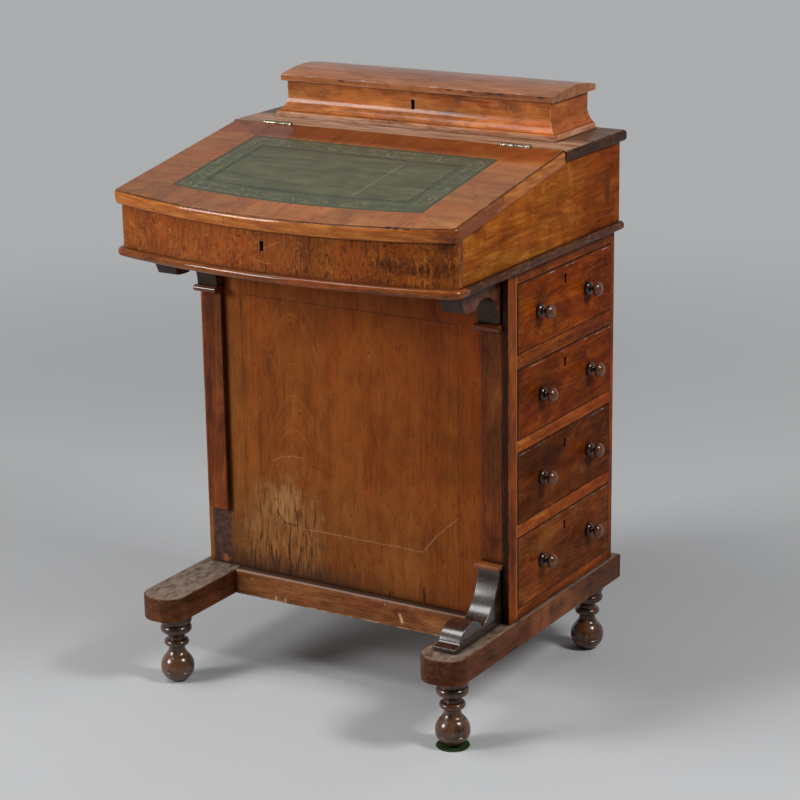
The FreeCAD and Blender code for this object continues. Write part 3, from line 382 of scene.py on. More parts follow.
SCROLL_WOOD = ((0.01, 0.005, 0.003), (0.026, 0.012, 0.007), (0.048, 0.022, 0.012), (0.36, 0.23, 0.15))
CAP_WOOD = ((0.11, 0.026, 0.006), (0.205, 0.055, 0.014), (0.29, 0.095, 0.028), (0.62, 0.46, 0.34))
CORBEL_WOOD = ((0.0186, 0.0092, 0.0043), (0.031, 0.0161, 0.0076), (0.0496, 0.0253, 0.0119), (0.1, 0.05, 0.03))
KNOB_WOOD = ((0.014, 0.006, 0.004), (0.032, 0.013, 0.007), (0.055, 0.022, 0.011), (0.15, 0.075, 0.04))
INNER_WOOD = ((0.225, 0.108, 0.042), (0.36, 0.186, 0.076), (0.45, 0.26, 0.12), (0.52, 0.36, 0.21))

KNOB_NECK = 0.2665  # across from the middle, where a knob's base ends

CRACK = (0.018, 0.008, 0.005)
SCRATCH = (0.52, 0.33, 0.19)
DUST = (0.27, 0.205, 0.158)

# Damage on the front panel, across and up in millimetres, and the line and tips of its arched grain in metres
PANEL_CRACKS = [(-109.3, 218.3, -111.9, 139.4, 1.3), (-160.6, 198.6, -162.7, 144, 1.2),
                (-132, 239.6, -116.9, 218.5, 1.2), (-99.3, 258, -97.1, 220.4, 1.1),
                (-147.5, 220.9, -148.9, 182.1, 1), (-73, 221.5, -78.4, 156.4, 0.7),
                (-132.1, 220.5, -133, 192.7, 1), (-142.1, 183.4, -143, 156.4, 1.1),
                (-91, 186.1, -91.5, 156.7, 1), (-71.9, 178.7, -72.2, 163.2, 0.9),
                (-58.4, 159.4, -58.8, 142, 0.9), (-30, 156, -30.2, 142, 0.8),
                (-120.9, 187, -121.5, 160.8, 0.9), (-172.2, 178.2, -172.8, 142, 1),
                (-117.8, 221.4, -95.5, 219, 1.2), (-73.5, 314.9, -34.9, 304.6, 0.6)]
PANEL_KNOTS = [(114.6, 166, 115, 141.1, 3), (58.3, 150, 58.1, 136.2, 1.8), (-119, 222.5, -116.5, 220.5, 3.5)]
PANEL_SCRATCHES = [(-95.5, 218.1, 9.9, 218.6, 0.9), (9.9, 218.6, 113.7, 218.4, 0.9),
                   (113.7, 218.4, 136.7, 246.2, 1), (136.7, 246.2, 170.6, 276.9, 0.9)]
PANEL_ARC = [(-135.4, 314.1, -116.4, 324, 1.4), (-116.4, 324, -81.7, 326.3, 1.4)]
FRAME_JOINTS = [(-183, 554, 172, 554, 1.1), (172, 554, 172, 250, 0.8), (-183, 554, -183, 300, 0.6)]
BARE_TOP = [(-262, 227, -210, 227, 1.4)]
ARCH_LINE = -0.096
ARCH_TIPS = (0.5327, 0.4625, 0.4148, 0.3651)


def panel_marks(paint):
    """Arched grain, bleached and cracked veneer low on the left, scratches and dark knots."""
    aside = paint.x - ARCH_LINE
    arch = paint.z + aside * aside * 34.0 + (paint.noise(60.0, 4.0) - 0.5) * 0.01
    near_arch = paint.span(abs(aside), 0.075, 0.02) * paint.span(paint.z, 0.3, 0.36)
    figure = paint.bands(arch, 130.0, 3.0, 0.65)
    paint.lay((0.4, 0.15, 0.036), near_arch * paint.span(figure, 0.52, 0.7, 0.13))
    paint.lay((0.095, 0.022, 0.004), near_arch * paint.span(figure, 0.46, 0.32, 0.13))
    for tip in ARCH_TIPS:
        line = paint.span(abs(arch - tip), 0.0016, 0.0005)
        paint.lay((0.4, 0.17, 0.05), line * near_arch * 0.24)
    paint.tint((0.92, 0.76, 0.6), paint.x + paint.noise(9.0) * 0.1, 0.1, 0.26)
    paint.tint((0.86, 0.96, 1.1), paint.x, -0.165, -0.205)
    paint.tint((0.94, 0.84, 0.66), paint.z, 0.4, 0.6)
    paint.tint((0.98, 1.1, 1.35), paint.z, 0.36, 0.22)
    pits = paint.noise(420.0, 4.0, 0.7, stretch=(1.0, 1.0, 0.5))
    paint.lay((0.36, 0.15, 0.046), pits, 0.6, 0.7, 0.4)
    paint.lay((0.06, 0.018, 0.005), pits, 0.4, 0.32, 0.45)

    streaks = paint.noise(250.0, 5.0, 0.68, stretch=(1.0, 1.0, 0.14))
    paint.tint((0.74, 0.82, 0.9), paint.spot((-0.135, 0.175), (0.09, 0.085), 0.9))
    tired = paint.spot((-0.118, 0.2), (0.075, 0.105), 0.9)
    paint.lay((0.3, 0.135, 0.046), tired * paint.span(streaks, 0.4, 0.62, 0.8, start=0.15))
    paint.lay((0.06, 0.024, 0.009), tired * paint.span(streaks, 0.46, 0.36, 0.8))
    bleached = paint.spot((-0.115, 0.248), (0.024, 0.03), 1.5, 130.0)
    paint.lay((0.36, 0.18, 0.068), bleached * paint.span(streaks, 0.36, 0.6, 0.75, start=0.15))
    foot = paint.span(paint.z + streaks * 0.06, 0.215, 0.172) * paint.span(paint.x, 0.1, -0.08, start=0.35)
    paint.lay((0.05, 0.022, 0.013), foot * 0.82)
    paint.draw(PANEL_CRACKS, CRACK, 0.9, 0.007)
    paint.draw(PANEL_KNOTS, CRACK, 0.8)
    paint.draw(PANEL_ARC, SCRATCH, 0.24, 0.01)
    paint.draw(PANEL_SCRATCHES, SCRATCH, 0.4)


def front_marks(paint):
    """The marks of the panel, and the bare dark place on its frame where the lost left bracket stood."""
    panel_marks(paint)
    paint.draw(FRAME_JOINTS, (0.05, 0.016, 0.006), 0.75, 0.002)
    bare = paint.box(BARE_PLACE, 0.0012)
    rough_patch = paint.noise(110.0, 5.0, 0.7)
    ghost = paint.ramp(rough_patch, [
        (0.36, (0.034, 0.018, 0.013)), (0.52, (0.066, 0.036, 0.027)), (0.68, (0.115, 0.062, 0.044))])
    paint.lay(ghost, bare * 0.92)
    paint.draw(BARE_TOP, CRACK, 0.9, 0.002)
    chip = paint.spot((-0.224, 0.149), (0.006, 0.006), 1.5, 230.0)
    paint.lay((0.36, 0.095, 0.038), chip * 0.8)


BURR_CRACKS = [(64.8, 699, 64.1, 664, 0.9), (145.6, 704, 145.2, 683.5, 0.8)]
BURR_NICKS = [(-164.2, 671.3, -161.4, 660, 1), (-10, 678, 20, 690, 0.7), (-30, 662, 5, 660, 0.8),
              (-200, 700, -170, 708, 0.7)]


def burr_marks(paint):
    """Burr veneer: curls, upright dark flecks, fine pale streaks and a few cracks."""
    curls = paint.noise(85.0, 5.0, 0.72, 1.6, stretch=(1.0, 1.0, 0.7))
    flecks = paint.noise(300.0, 4.0, 0.72, 0.8, stretch=(1.0, 1.0, 0.4))
    where = paint.noise(24.0, 4.0, 0.6) + paint.span(paint.x, -0.2, 0.26, 0.07, start=-0.02)
    dense = paint.span(where, 0.4, 0.64, start=0.25)
    paint.lay((0.46, 0.16, 0.026), curls, 0.54, 0.66, 0.55)
    paint.lay((0.085, 0.019, 0.003), paint.span(curls, 0.46, 0.34, 0.65) * dense)
    paint.lay((0.03, 0.008, 0.002), paint.span(flecks, 0.53, 0.61, 0.92) * dense)
    streaks = paint.noise(620.0, 2.0, stretch=(1.0, 1.0, 0.06))
    low = paint.span(paint.z, 0.7, 0.672)
    paint.lay((0.5, 0.24, 0.08), paint.span(streaks, 0.6, 0.7, 0.35) * low)
    paint.tint((0.62, 0.5, 0.5), paint.z, 0.722, 0.737)
    corner = paint.spot((0.25, 0.716), (0.011, 0.03))
    paint.lay((0.05, 0.016, 0.008), corner * 0.65)
    burl = paint.spot((0.215, 0.672), (0.06, 0.014), 1.2, 90.0)
    paint.lay((0.05, 0.012, 0.003), burl * paint.span(curls, 0.6, 0.44, 0.75, start=0.15))
    paint.draw(BURR_CRACKS, CRACK, 0.85, 0.005)
    paint.draw(BURR_NICKS, (0.52, 0.27, 0.14), 0.36, 0.01)


# Worm holes and stains on the sides of the desk box, along and up
SIDE_WORMS = [(-0.1361, 0.7206), (-0.0333, 0.7017), (0.0029, 0.6709), (0.0455, 0.6588), (-0.1713, 0.6952),
              (0.1729, 0.6598), (0.0714, 0.6784)]


def side_marks(paint):
    """Golden and rippled towards the front, redder and darker towards the rear, with worm holes."""
    rippled = paint.stretched((1.0, 0.1, 1.0), turn=(math.radians(-24.0), 0.0, 0.0))
    ripple = paint.noise(170.0, 4.0, 0.6, 0.4, place=rippled)
    paint.lay((0.52, 0.2, 0.034), ripple, 0.52, 0.68, 0.45)
    paint.lay((0.125, 0.028, 0.003), ripple, 0.47, 0.32, 0.45)
    patches = paint.noise(15.0, 5.0, 0.65)
    paint.tint((0.74, 0.63, 0.52), patches, 0.5, 0.66)
    paint.lay((0.46, 0.165, 0.026), patches, 0.46, 0.34, 0.55)
    paint.tint((0.6, 0.4, 0.26), paint.y + paint.noise(8.0) * 0.12, 0.08, 0.3)
    for centre, radii in (((-0.166, 0.716), (0.016, 0.007)), ((0.203, 0.705), (0.01, 0.028))):
        stain = paint.spot(centre, radii, 1.0, 110.0, (Y, Z))
        paint.lay((0.075, 0.022, 0.006), stain * 0.65)
    clusters = 0.0
    for centre in SIDE_WORMS:
        clusters = paint.most(paint.spot(centre, (0.016, 0.01), 0.6, 90.0, (Y, Z)), clusters)
    holes = paint.specks(230.0, 0.3, 0.34, (3.1, 0.4, 1.7))
    paint.lay((0.03, 0.01, 0.004), holes * clusters * 0.9)


def outlined(name):
    """Marks of a drawer front: painted shade along its gaps, with a broken painted highlight on its upper
    arris.
    """
    low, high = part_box(name)

    def marks(paint):
        along, up = paint.y, paint.z
        # Painted shade of the gaps round the drawer front
        dark = paint.span(along, low.y + 0.0036, low.y + 0.0016)
        dark = paint.most(dark, paint.span(up, high.z - 0.0022, high.z - 0.001))
        dark = paint.most(dark, paint.span(up, low.z + 0.0018, low.z + 0.0008))
        dark = paint.most(dark, paint.span(along, high.y - 0.0016, high.y - 0.0008))
        paint.lay(CRACK, dark * 0.88)
        # Broken painted highlight along the upper arris
        arris_glint = paint.noise(150.0, 4.0, 0.65, place=paint.stretched((1.0, 0.25, 1.0), (0.0, high.z, 0.0)))
        strip = paint.span(up, high.z - 0.0046, high.z - 0.0034)
        strip = strip * paint.span(up, high.z - 0.0016, high.z - 0.0026)
        paint.lay((0.4, 0.32, 0.25), strip * paint.span(arris_glint, 0.5, 0.62) * 0.6)

    return marks


def stile_marks(paint):
    """Painted shade and dirt on the faces in the slot beside the pilaster, and a painted highlight on the
    arris beside the drawers.
    """
    # Painted shade and dirt on the faces that look to the front, in the slot
    paint.lay((0.022, 0.008, 0.005), paint.normal(Y), -0.55, -0.85, 0.92)
    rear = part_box("drawer_2_front")[0].y
    # Painted highlight on the arris beside the drawers
    arris = paint.span(paint.y, rear - 0.006, rear - 0.0035) * paint.span(paint.y, rear, rear - 0.001)
    paint.lay((0.42, 0.19, 0.07), arris * 0.4)


def rail_marks(paint):
    """Redder towards the rear, and more golden on the lower rails."""
    paint.scale(paint.span(paint.z, 0.52, 0.38, 1.35, start=0.88))
    paint.tint((0.8, 0.62, 0.5), paint.y, 0.02, 0.22)


def corbel_marks(paint):
    """Reddish brown sides about the dark hollows."""
    side = paint.span(abs(paint.normal(X)), 0.7, 0.95)
    mottle = paint.noise(70.0, 5.0, 0.65)
    red = paint.ramp(mottle, [
        (0.36, (0.04, 0.01, 0.004)), (0.5, (0.085, 0.022, 0.008)), (0.66, (0.135, 0.042, 0.016))])
    paint.lay(red, side)


def bead_marks(paint):
    """A dark, scratched bead with pale rubbed places."""
    scratches = paint.noise(330.0, 4.0, 0.7, stretch=(1.0, 0.16, 1.0))
    paint.lay((0.02, 0.012, 0.01), scratches, 0.47, 0.37, 0.85)
    paint.lay((0.3, 0.215, 0.165), scratches, 0.57, 0.67, 0.6)


def knob_marks(paint):
    """Warm brown heads on nearly black bases."""
    head = paint.span(abs(paint.x), KNOB_NECK, KNOB_NECK + 0.004)
    streaks = paint.noise(260.0, 4.0, 0.6)
    warm = paint.ramp(streaks, [
        (0.36, (0.07, 0.022, 0.009)), (0.5, (0.14, 0.048, 0.02)), (0.66, (0.21, 0.08, 0.036))])
    paint.lay(warm, head * 0.9)


def fall_sides(paint):
    """How far a place lies into the fall's side borders past the mitres, down the fall and out of its top."""
    down, out = paint.slope()
    past_side = abs(paint.x) - LEATHER_HALF
    past_end = paint.most(down - LEATHER_FRONT, LEATHER_REAR - down)
    return past_side - past_end * 1.3, down, out


def crossbanding(paint):
    """Place for a grain that runs square to each border of the fall."""
    on_side = paint.math("GREATER_THAN", fall_sides(paint)[0], 0.0)
    swapped = paint.add("CombineXYZ", {0: paint.y, 1: paint.x, 2: paint.z})
    return paint.add("Mix", {0: on_side, 4: paint.place, 5: swapped}, 1, data_type="VECTOR")


def fall_polish(paint):
    """Mask of the polished top and edges of the fall, without its plain underside."""
    out = paint.slope()[1]
    return paint.span(out, 0.0008 - FALL_THICKNESS, 0.0016 - FALL_THICKNESS)


FALL_SCRATCHES = [(-235, -180, -215, -205, 1), (-170, -222, -140, -226, 0.9), (-110, -225, -90, -236, 1),
                  (-225, -120, -210, -150, 0.8), (215, -90, 240, -120, 0.9), (60, -232, 100, -236, 0.8)]
FALL_CHIPS = (0.18, 0.1905, 0.205)


def fall_marks(paint):
    """Border veneers in separate pieces, mitre lines, and a golden moulded edge with worm holes."""
    past, down, out = fall_sides(paint)
    on_side = paint.math("GREATER_THAN", past, 0.0)
    run = paint.x * (1.0 - on_side) + down * on_side
    step = paint.math("FLOOR", run * 8.5 + 0.35) + on_side * 17.0
    shade = paint.add("TexWhiteNoise", {"W": step}, "Value", noise_dimensions="1D")
    paint.scale(paint.span(shade, 0.0, 1.0, 1.1, start=0.9))
    paint.scale(paint.span(paint.x, -0.27, 0.27, 1.14, start=0.9))
    # Painted reflection of the till: the rear border darker and redder
    paint.tint((0.66, 0.47, 0.34), down, LEATHER_REAR + 0.01, LEATHER_REAR - 0.015)
    joint = paint.span(abs(past), 0.0009, 0.0003)
    paint.lay((0.07, 0.025, 0.01), joint * 0.55)
    edge_run = paint.noise(210.0, 4.0, 0.6, stretch=(0.12, 0.12, 1.0))
    golden = paint.ramp(edge_run, [
        (0.36, (0.26, 0.062, 0.006)), (0.5, (0.38, 0.104, 0.012)), (0.64, (0.47, 0.165, 0.028))])
    below = paint.span(out, -0.001, -0.0017)
    paint.lay(golden, below)
    line = paint.span(out, -0.0004, -0.001) * paint.span(out, -0.0022, -0.0015)
    paint.lay((0.05, 0.018, 0.008), line * 0.75)
    eaten = below * paint.spot((FALL_HALF, -0.18), (0.04, 0.08), 1.4, 70.0, (X, Y))
    paint.lay((0.13, 0.024, 0.004), eaten * 0.75)
    plain = paint.noise(150.0, 5.0, 0.65, stretch=(0.08, 1.0, 1.0))
    under = paint.ramp(plain, [
        (0.36, (0.12, 0.04, 0.013)), (0.5, (0.205, 0.075, 0.026)), (0.64, (0.28, 0.115, 0.044))])
    paint.lay(under, 1.0 - fall_polish(paint))
    at_front = paint.span(paint.y, -0.2, -0.22)
    for across in FALL_CHIPS:
        chip = paint.spot((across, 0.7238), (0.006, 0.0018), 1.0, 190.0) * at_front
        paint.lay((0.03, 0.011, 0.006), chip * 0.85)
    paint.draw(FALL_SCRATCHES, (0.09, 0.03, 0.012), 0.55, 0.006, (X, Y))
    holes = paint.specks(170.0, 0.25, 0.22, (0.7, 2.4, 1.1))
    paint.lay((0.035, 0.012, 0.005), holes * below * 0.85)


def deck_marks(paint):
    """Pinkish pale top, worn polish with a painted sheen, darkest at the rear, over the dark edges."""
    streaks = paint.noise(160.0, 4.0, 0.6, stretch=(0.1, 1.0, 1.0))
    top = paint.ramp(streaks, [
        (0.36, (0.18, 0.078, 0.04)), (0.5, (0.35, 0.175, 0.098)), (0.64, (0.5, 0.31, 0.2))])
    top = paint.mix(top, (0.4, 0.36, 0.34), paint.span(paint.y, 0.112, 0.15), "MULTIPLY")
    # Pale top faces: worn polish and a painted sheen
    paint.lay(top, paint.facing_up() * 0.92)


LID_CHIPS = (0.0578, 0.093, 0.1231, 0.1405, 0.2043, -0.12)


def lid_marks(paint):
    """Dark streaks along the top, and a front edge with pale and dark chips."""
    streaks = paint.noise(190.0, 5.0, 0.65, stretch=(0.06, 1.0, 1.0))
    paint.lay((0.075, 0.024, 0.008), streaks, 0.46, 0.34, 0.65)
    paint.lay((0.46, 0.2, 0.075), streaks, 0.55, 0.68, 0.45)
    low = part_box("till_lid")[0]
    front = paint.span(paint.y, low.y + 0.006, low.y + 0.003)
    chips = paint.noise(230.0, 4.0, 0.65, stretch=(0.3, 1.0, 1.0))
    arris = paint.span(paint.z, low.z + 0.0068, low.z + 0.008) * front
    paint.lay((0.66, 0.54, 0.44), arris * paint.span(chips, 0.57, 0.66, 0.55))
    for across in LID_CHIPS:
        chip = paint.spot((across, low.z + 0.006), (0.007, 0.0018), 1.0, 190.0) * front
        paint.lay((0.035, 0.016, 0.01), chip * 0.85)


TILL_KNOTS = [(145.5, 818, 147, 814, 1.1), (152.5, 820, 155, 816, 1.1), (66, 819, 69, 817, 0.9),
              (140, 811, 142, 809, 0.8)]
TILL_SMUDGES = [((0.151, 0.8170), (0.020, 0.009)), ((0.068, 0.8183), (0.009, 0.006)),
                ((-0.15, 0.815), (0.010, 0.006))]


def till_marks(paint):
    """Pinkish worn steps at the foot of the till, and smudges and dark knots along its wall."""
    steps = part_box("till_front")[0].z + 0.0075
    foot = paint.span(paint.z, steps + 0.0012, steps - 0.0008)
    worn = paint.noise(190.0, 4.0, 0.65, stretch=(0.15, 0.15, 1.0))
    pale = paint.ramp(worn, [
        (0.34, (0.13, 0.045, 0.02)), (0.48, (0.42, 0.19, 0.095)), (0.64, (0.58, 0.36, 0.24))])
    paint.lay(pale, foot * 0.85)
    mottle = paint.noise(70.0, 5.0, 0.7, stretch=(0.35, 0.35, 1.0))
    walls = 1.0 - foot
    paint.lay((0.54, 0.2, 0.058), walls * paint.span(mottle, 0.54, 0.66, 0.45))
    paint.lay((0.15, 0.038, 0.009), walls * paint.span(mottle, 0.45, 0.33, 0.5))
    line = paint.span(abs(paint.z - (steps + 0.0016)), 0.0008, 0.0003)
    paint.lay(CRACK, line * 0.6)
    for centre, radii in TILL_SMUDGES:
        smudge = paint.spot(centre, radii, 1.3, 120.0)
        paint.lay((0.12, 0.05, 0.026), smudge * 0.5)
    paint.draw(TILL_KNOTS, CRACK, 0.8)


def dusty(paint):
    """Grey dust and dark stains on the faces that look up."""
    settled = paint.noise(120.0, 6.0, 0.72, stretch=(1.0, 0.45, 1.0))
    up = paint.facing_up()
    paint.lay(DUST, up * paint.span(settled, 0.32, 0.66, 0.9, start=0.2))
    paint.lay((0.035, 0.018, 0.012), up * paint.span(settled, 0.46, 0.34, 0.65))


PLINTH_TEARS = [(-125.3, 113.5, -124.5, 108.5, 1.8), (-109.6, 112.5, -108, 108.5, 1.8)]
PLINTH_SPLINTER = [(84.5, 126.2, 89.5, 113, 3)]


def plinth_marks(paint):
    """A dirty ledge with a pale front arris, and splinters torn from the lower edge."""
    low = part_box("plinth_rails")[0]
    back, up = paint.y - low.y, paint.facing_up()
    paint.lay((0.06, 0.034, 0.024), up * paint.span(back, 0.004, 0.008, 0.85))
    paint.lay((0.4, 0.31, 0.26), up * paint.span(back, 0.007, 0.004, 0.75))
    ragged = paint.noise(210.0, 4.0, 0.65, stretch=(0.3, 1.0, 1.0))
    lower = paint.span(paint.z, low.z + 0.0028, low.z + 0.0012) * paint.span(ragged, 0.48, 0.58)
    paint.lay((0.58, 0.42, 0.3), lower * 0.65)
    whole = paint.colour
    paint.draw(PLINTH_TEARS, (0.75, 0.62, 0.46), 0.85, 0.003)
    paint.draw(PLINTH_SPLINTER, (0.72, 0.4, 0.18), 0.85, 0.003)
    paint.colour = paint.mix(whole, paint.colour, paint.span(back, 0.03, 0.025))


RUNNER_CRACK = [(-48, 101, -42, 94, 1), (-42, 94, -33, 95, 1), (-33, 95, -22, 102, 1)]


def runner_marks(paint):
    """Dust on top, an orange stretch behind and an arc-shaped crack in the right runner's side."""
    dusty(paint)
    sides = 1.0 - paint.facing_up()
    behind = paint.span(paint.y, -0.03, 0.0) * paint.span(paint.y, 0.16, 0.08)
    behind = behind * paint.span(paint.noise(30.0, 4.0), 0.4, 0.58, start=0.2)
    paint.lay((0.3, 0.1, 0.03), behind * 0.6 * sides)
    red = paint.noise(48.0, 4.0, 0.6, stretch=(1.0, 0.5, 1.0))
    paint.lay((0.175, 0.04, 0.013), paint.span(red, 0.54, 0.66, 0.4) * sides)
    paint.draw(RUNNER_CRACK, CRACK, 0.8, 0.002, (Y, Z))


def foot_marks(paint):
    """A golden ball with upright dark stains under a darker neck."""
    ball = paint.span(paint.z, 0.058, 0.044)
    paint.lay((0.17, 0.066, 0.022), ball * 0.34)
    stains = paint.noise(85.0, 5.0, 0.65, stretch=(1.0, 1.0, 0.35))
    paint.lay((0.022, 0.011, 0.006), stains, 0.5, 0.6, 0.85)


def brass(name):
    paint = Paint(name)
    tarnish = paint.noise(380.0, 5.0, 0.65)
    paint.colour = paint.ramp(tarnish, [
        (0.42, (0.035, 0.026, 0.018)), (0.52, (0.185, 0.155, 0.11)), (0.64, (0.42, 0.38, 0.31))])
    paint.bump(paint.noise(1600.0, 2.0, stretch=(0.1, 1.0, 1.0)), 0.15, 0.0003)
    return paint.surface(paint.span(tarnish, 0.35, 0.65, 0.26, start=0.5), metallic=1.0)


def iron(name):
    paint = Paint(name)
    rust = paint.noise(260.0, 6.0, 0.7)
    paint.colour = paint.ramp(rust, [
        (0.4, (0.1, 0.095, 0.09)), (0.54, (0.2, 0.18, 0.16)), (0.66, (0.16, 0.07, 0.03))])
    paint.bump(rust, 0.35, 0.0004)
    return paint.surface(paint.span(rust, 0.35, 0.65, 0.72, start=0.34), metallic=0.85)


def felt(name):
    paint = Paint(name)
    fuzz = paint.noise(1900.0, 4.0, 0.7)
    tufts = paint.noise(420.0, 4.0, 0.6)
    paint.colour = paint.ramp(fuzz * 0.5 + tufts * 0.5, [
        (0.36, (0.006, 0.012, 0.005)), (0.5, (0.017, 0.036, 0.012)), (0.64, (0.06, 0.1, 0.032))])
    paint.bump(fuzz, 0.8, 0.001)
    return paint.surface(paint.span(tufts, 0.3, 0.7, start=0.88), specular_ior_level=0.1)


def leather(name):
    """Green skiver with a faded gilt band and a dark double line, set by the distance to its edge."""
    paint = Paint(name)
    across, down = paint.x, paint.slope()[0]
    share = across * (1.0 / LEATHER_HALF)
    bowed = (1.0 - share * share) * LEATHER_BOW
    from_side = LEATHER_HALF - abs(across)
    from_rear = down - LEATHER_REAR
    from_front = bowed + LEATHER_FRONT - down
    edge = paint.least(from_side, paint.least(from_rear, from_front))
    hide = paint.noise(30.0, 6.0, 0.65)
    paint.colour = paint.ramp(hide, [
        (0.32, (0.044, 0.047, 0.018)), (0.5, (0.072, 0.073, 0.03)), (0.68, (0.11, 0.104, 0.05))])
    wrinkled = paint.stretched((0.1, 1.0, 1.0), turn=(0.0, 0.0, math.radians(-28.0)))
    rubbing = paint.noise(120.0, 5.0, 0.65, place=wrinkled)
    paint.lay((0.14, 0.134, 0.07), rubbing, 0.51, 0.68, 0.55)
    paint.lay((0.032, 0.037, 0.017), rubbing, 0.48, 0.34, 0.6)
    # Painted reflection of the till: a brown band along the rear of the leather
    paint.lay((0.09, 0.048, 0.013), down, LEATHER_REAR + 0.075, LEATHER_REAR, 0.7)
    outer = paint.span(edge, TOOLED_LINES[0] + 0.002, TOOLED_LINES[0] - 0.002)
    paint.lay((0.046, 0.058, 0.03), outer * 0.45)
    border = paint.span(edge, GILT_LINES[0] + 0.001, GILT_LINES[0] - 0.002)
    paint.lay((0.04, 0.043, 0.018), border * 0.45)
    band = paint.within(edge, *GILT_LINES, 0.001)
    sprigs = paint.cells(190.0)
    faded = paint.span(paint.noise(60.0, 5.0, 0.65), 0.4, 0.6)
    gilt = band * paint.span(sprigs, 0.44, 0.24) * faded * 0.85
    for line in GILT_LINES:
        gilt = paint.most(gilt, paint.span(abs(edge - line), 0.0012, 0.0005) * faded * 0.85)
    paint.lay((0.225, 0.19, 0.09), gilt)
    tooled = 0.0
    for line in TOOLED_LINES:
        tooled = paint.most(paint.span(abs(edge - line), 0.0015, 0.0006), tooled)
    tooled = tooled * paint.span(paint.noise(260.0, 2.0, 0.5), 0.4, 0.54, start=0.25)
    paint.lay((0.01, 0.014, 0.012), tooled * 0.92)
    scratch = paint.stroke((X, Y), (0.0733, HINGE_LINE.y - 0.2256 * math.cos(FALL_SLOPE)),
                           (0.0779, HINGE_LINE.y - 0.1036 * math.cos(FALL_SLOPE)), 0.0009, 0.004)
    paint.lay((0.34, 0.32, 0.2), scratch * 0.5)
    pebbles = paint.cells(900.0)
    creases = paint.noise(260.0, 5.0, 0.65, stretch=(0.3, 1.0, 1.0))
    height = pebbles * 0.5 + creases * 0.7 - tooled * 1.2
    paint.bump(height, 0.3)
    return paint.surface(paint.span(hide, 0.3, 0.7, 0.5, start=0.36), specular_ior_level=0.15,
                         coat_weight=0.3, coat_roughness=0.16)


FLAT_ANGLE = math.radians(0.2)
SHARP_ANGLE = math.radians(32.0)
EDGE = 0.0007


def soften(piece, width):
    """Rounds a CAD piece's sharp edges a little and smooths its shading."""
    weld = piece.modifiers.new("weld", "WELD")
    weld.merge_threshold = 1e-5
    flat = piece.modifiers.new("flat", "DECIMATE")
    flat.decimate_type = "DISSOLVE"
    flat.angle_limit = FLAT_ANGLE
    bevel = piece.modifiers.new("bevel", "BEVEL")
    bevel.width = width
    bevel.segments = 2
    bevel.limit_method = "ANGLE"
    bevel.angle_limit = SHARP_ANGLE
    normals = piece.modifiers.new("normals", "WEIGHTED_NORMAL")
    normals.keep_sharp = True
    for face in piece.data.polygons:
        face.use_smooth = True


def dress(names, material, width=EDGE):
    """Gives CAD pieces a material and rounds their edges; a width of 0 leaves them sharp."""
    for name in names.split():
        piece = nodes[name]
        piece.data.materials.clear()
        piece.data.materials.append(material)
        if width:
            soften(piece, width)


def add_mesh(name, material, build):
    """A new piece from a bmesh that build fills."""
    mesh = bpy.data.meshes.new(name)
    shape = bmesh.new()
    build(shape)
    shape.to_mesh(mesh)
    shape.free()
    for face in mesh.polygons:
        face.use_smooth = True
    mesh.materials.append(material)
    piece = bpy.data.objects.new(name, mesh)
    bpy.context.scene.collection.objects.link(piece)
    return piece


def slope_point(across, down, out):
    """A point on the fall: across it, down it from the hinge line, and out from its top."""
    return Vector((across,
                   HINGE_LINE.y - down * math.cos(FALL_SLOPE) - out * math.sin(FALL_SLOPE),
                   HINGE_LINE.z - down * math.sin(FALL_SLOPE) + out * math.cos(FALL_SLOPE)))


def leather_panel(shape):
    """A thin closed sheet with its pressed lines as real grooves and a slightly uneven hide."""
    columns, rows = 264, 148
    top, under = [], []
    for row in range(rows + 1):
        for column in range(columns + 1):
            across = LEATHER_HALF * (2.0 * column / columns - 1.0)
            front = LEATHER_FRONT + LEATHER_BOW * (1.0 - (across / LEATHER_HALF) ** 2)
            down = LEATHER_REAR + (front - LEATHER_REAR) * row / rows
            edge = min(LEATHER_HALF - abs(across), down - LEATHER_REAR, front - down)
            hide = noise.fractal(Vector((across, down, 0.0)) * 55.0, 0.8, 2.0, 3)
            out = 0.00012 * hide * min(1.0, edge / 0.004)
            for line in (*GILT_LINES, *TOOLED_LINES):
                out -= 0.0002 * max(0.0, 1.0 - abs(edge - line) / 0.0016)
            out -= 0.0003 * max(0.0, 1.0 - edge / 0.0015)
            top.append(shape.verts.new(slope_point(across, down, out - 0.0001)))
            under.append(shape.verts.new(slope_point(across, down, -LEATHER_THICKNESS)))
    wide = columns + 1
    for row in range(rows):
        for column in range(columns):
            first = row * wide + column
            shape.faces.new([top[first], top[first + wide], top[first + wide + 1], top[first + 1]])
            shape.faces.new([under[first], under[first + 1], under[first + wide + 1], under[first + wide]])
    rim = (list(range(columns))
           + [row * wide + columns for row in range(rows)]
           + [rows * wide + column for column in range(columns, 0, -1)]
           + [row * wide for row in range(rows, 0, -1)])
    for index, first in enumerate(rim):
        second = rim[(index + 1) % len(rim)]
        shape.faces.new([top[first], top[second], under[second], under[first]])
    bmesh.ops.recalc_face_normals(shape, faces=shape.faces)


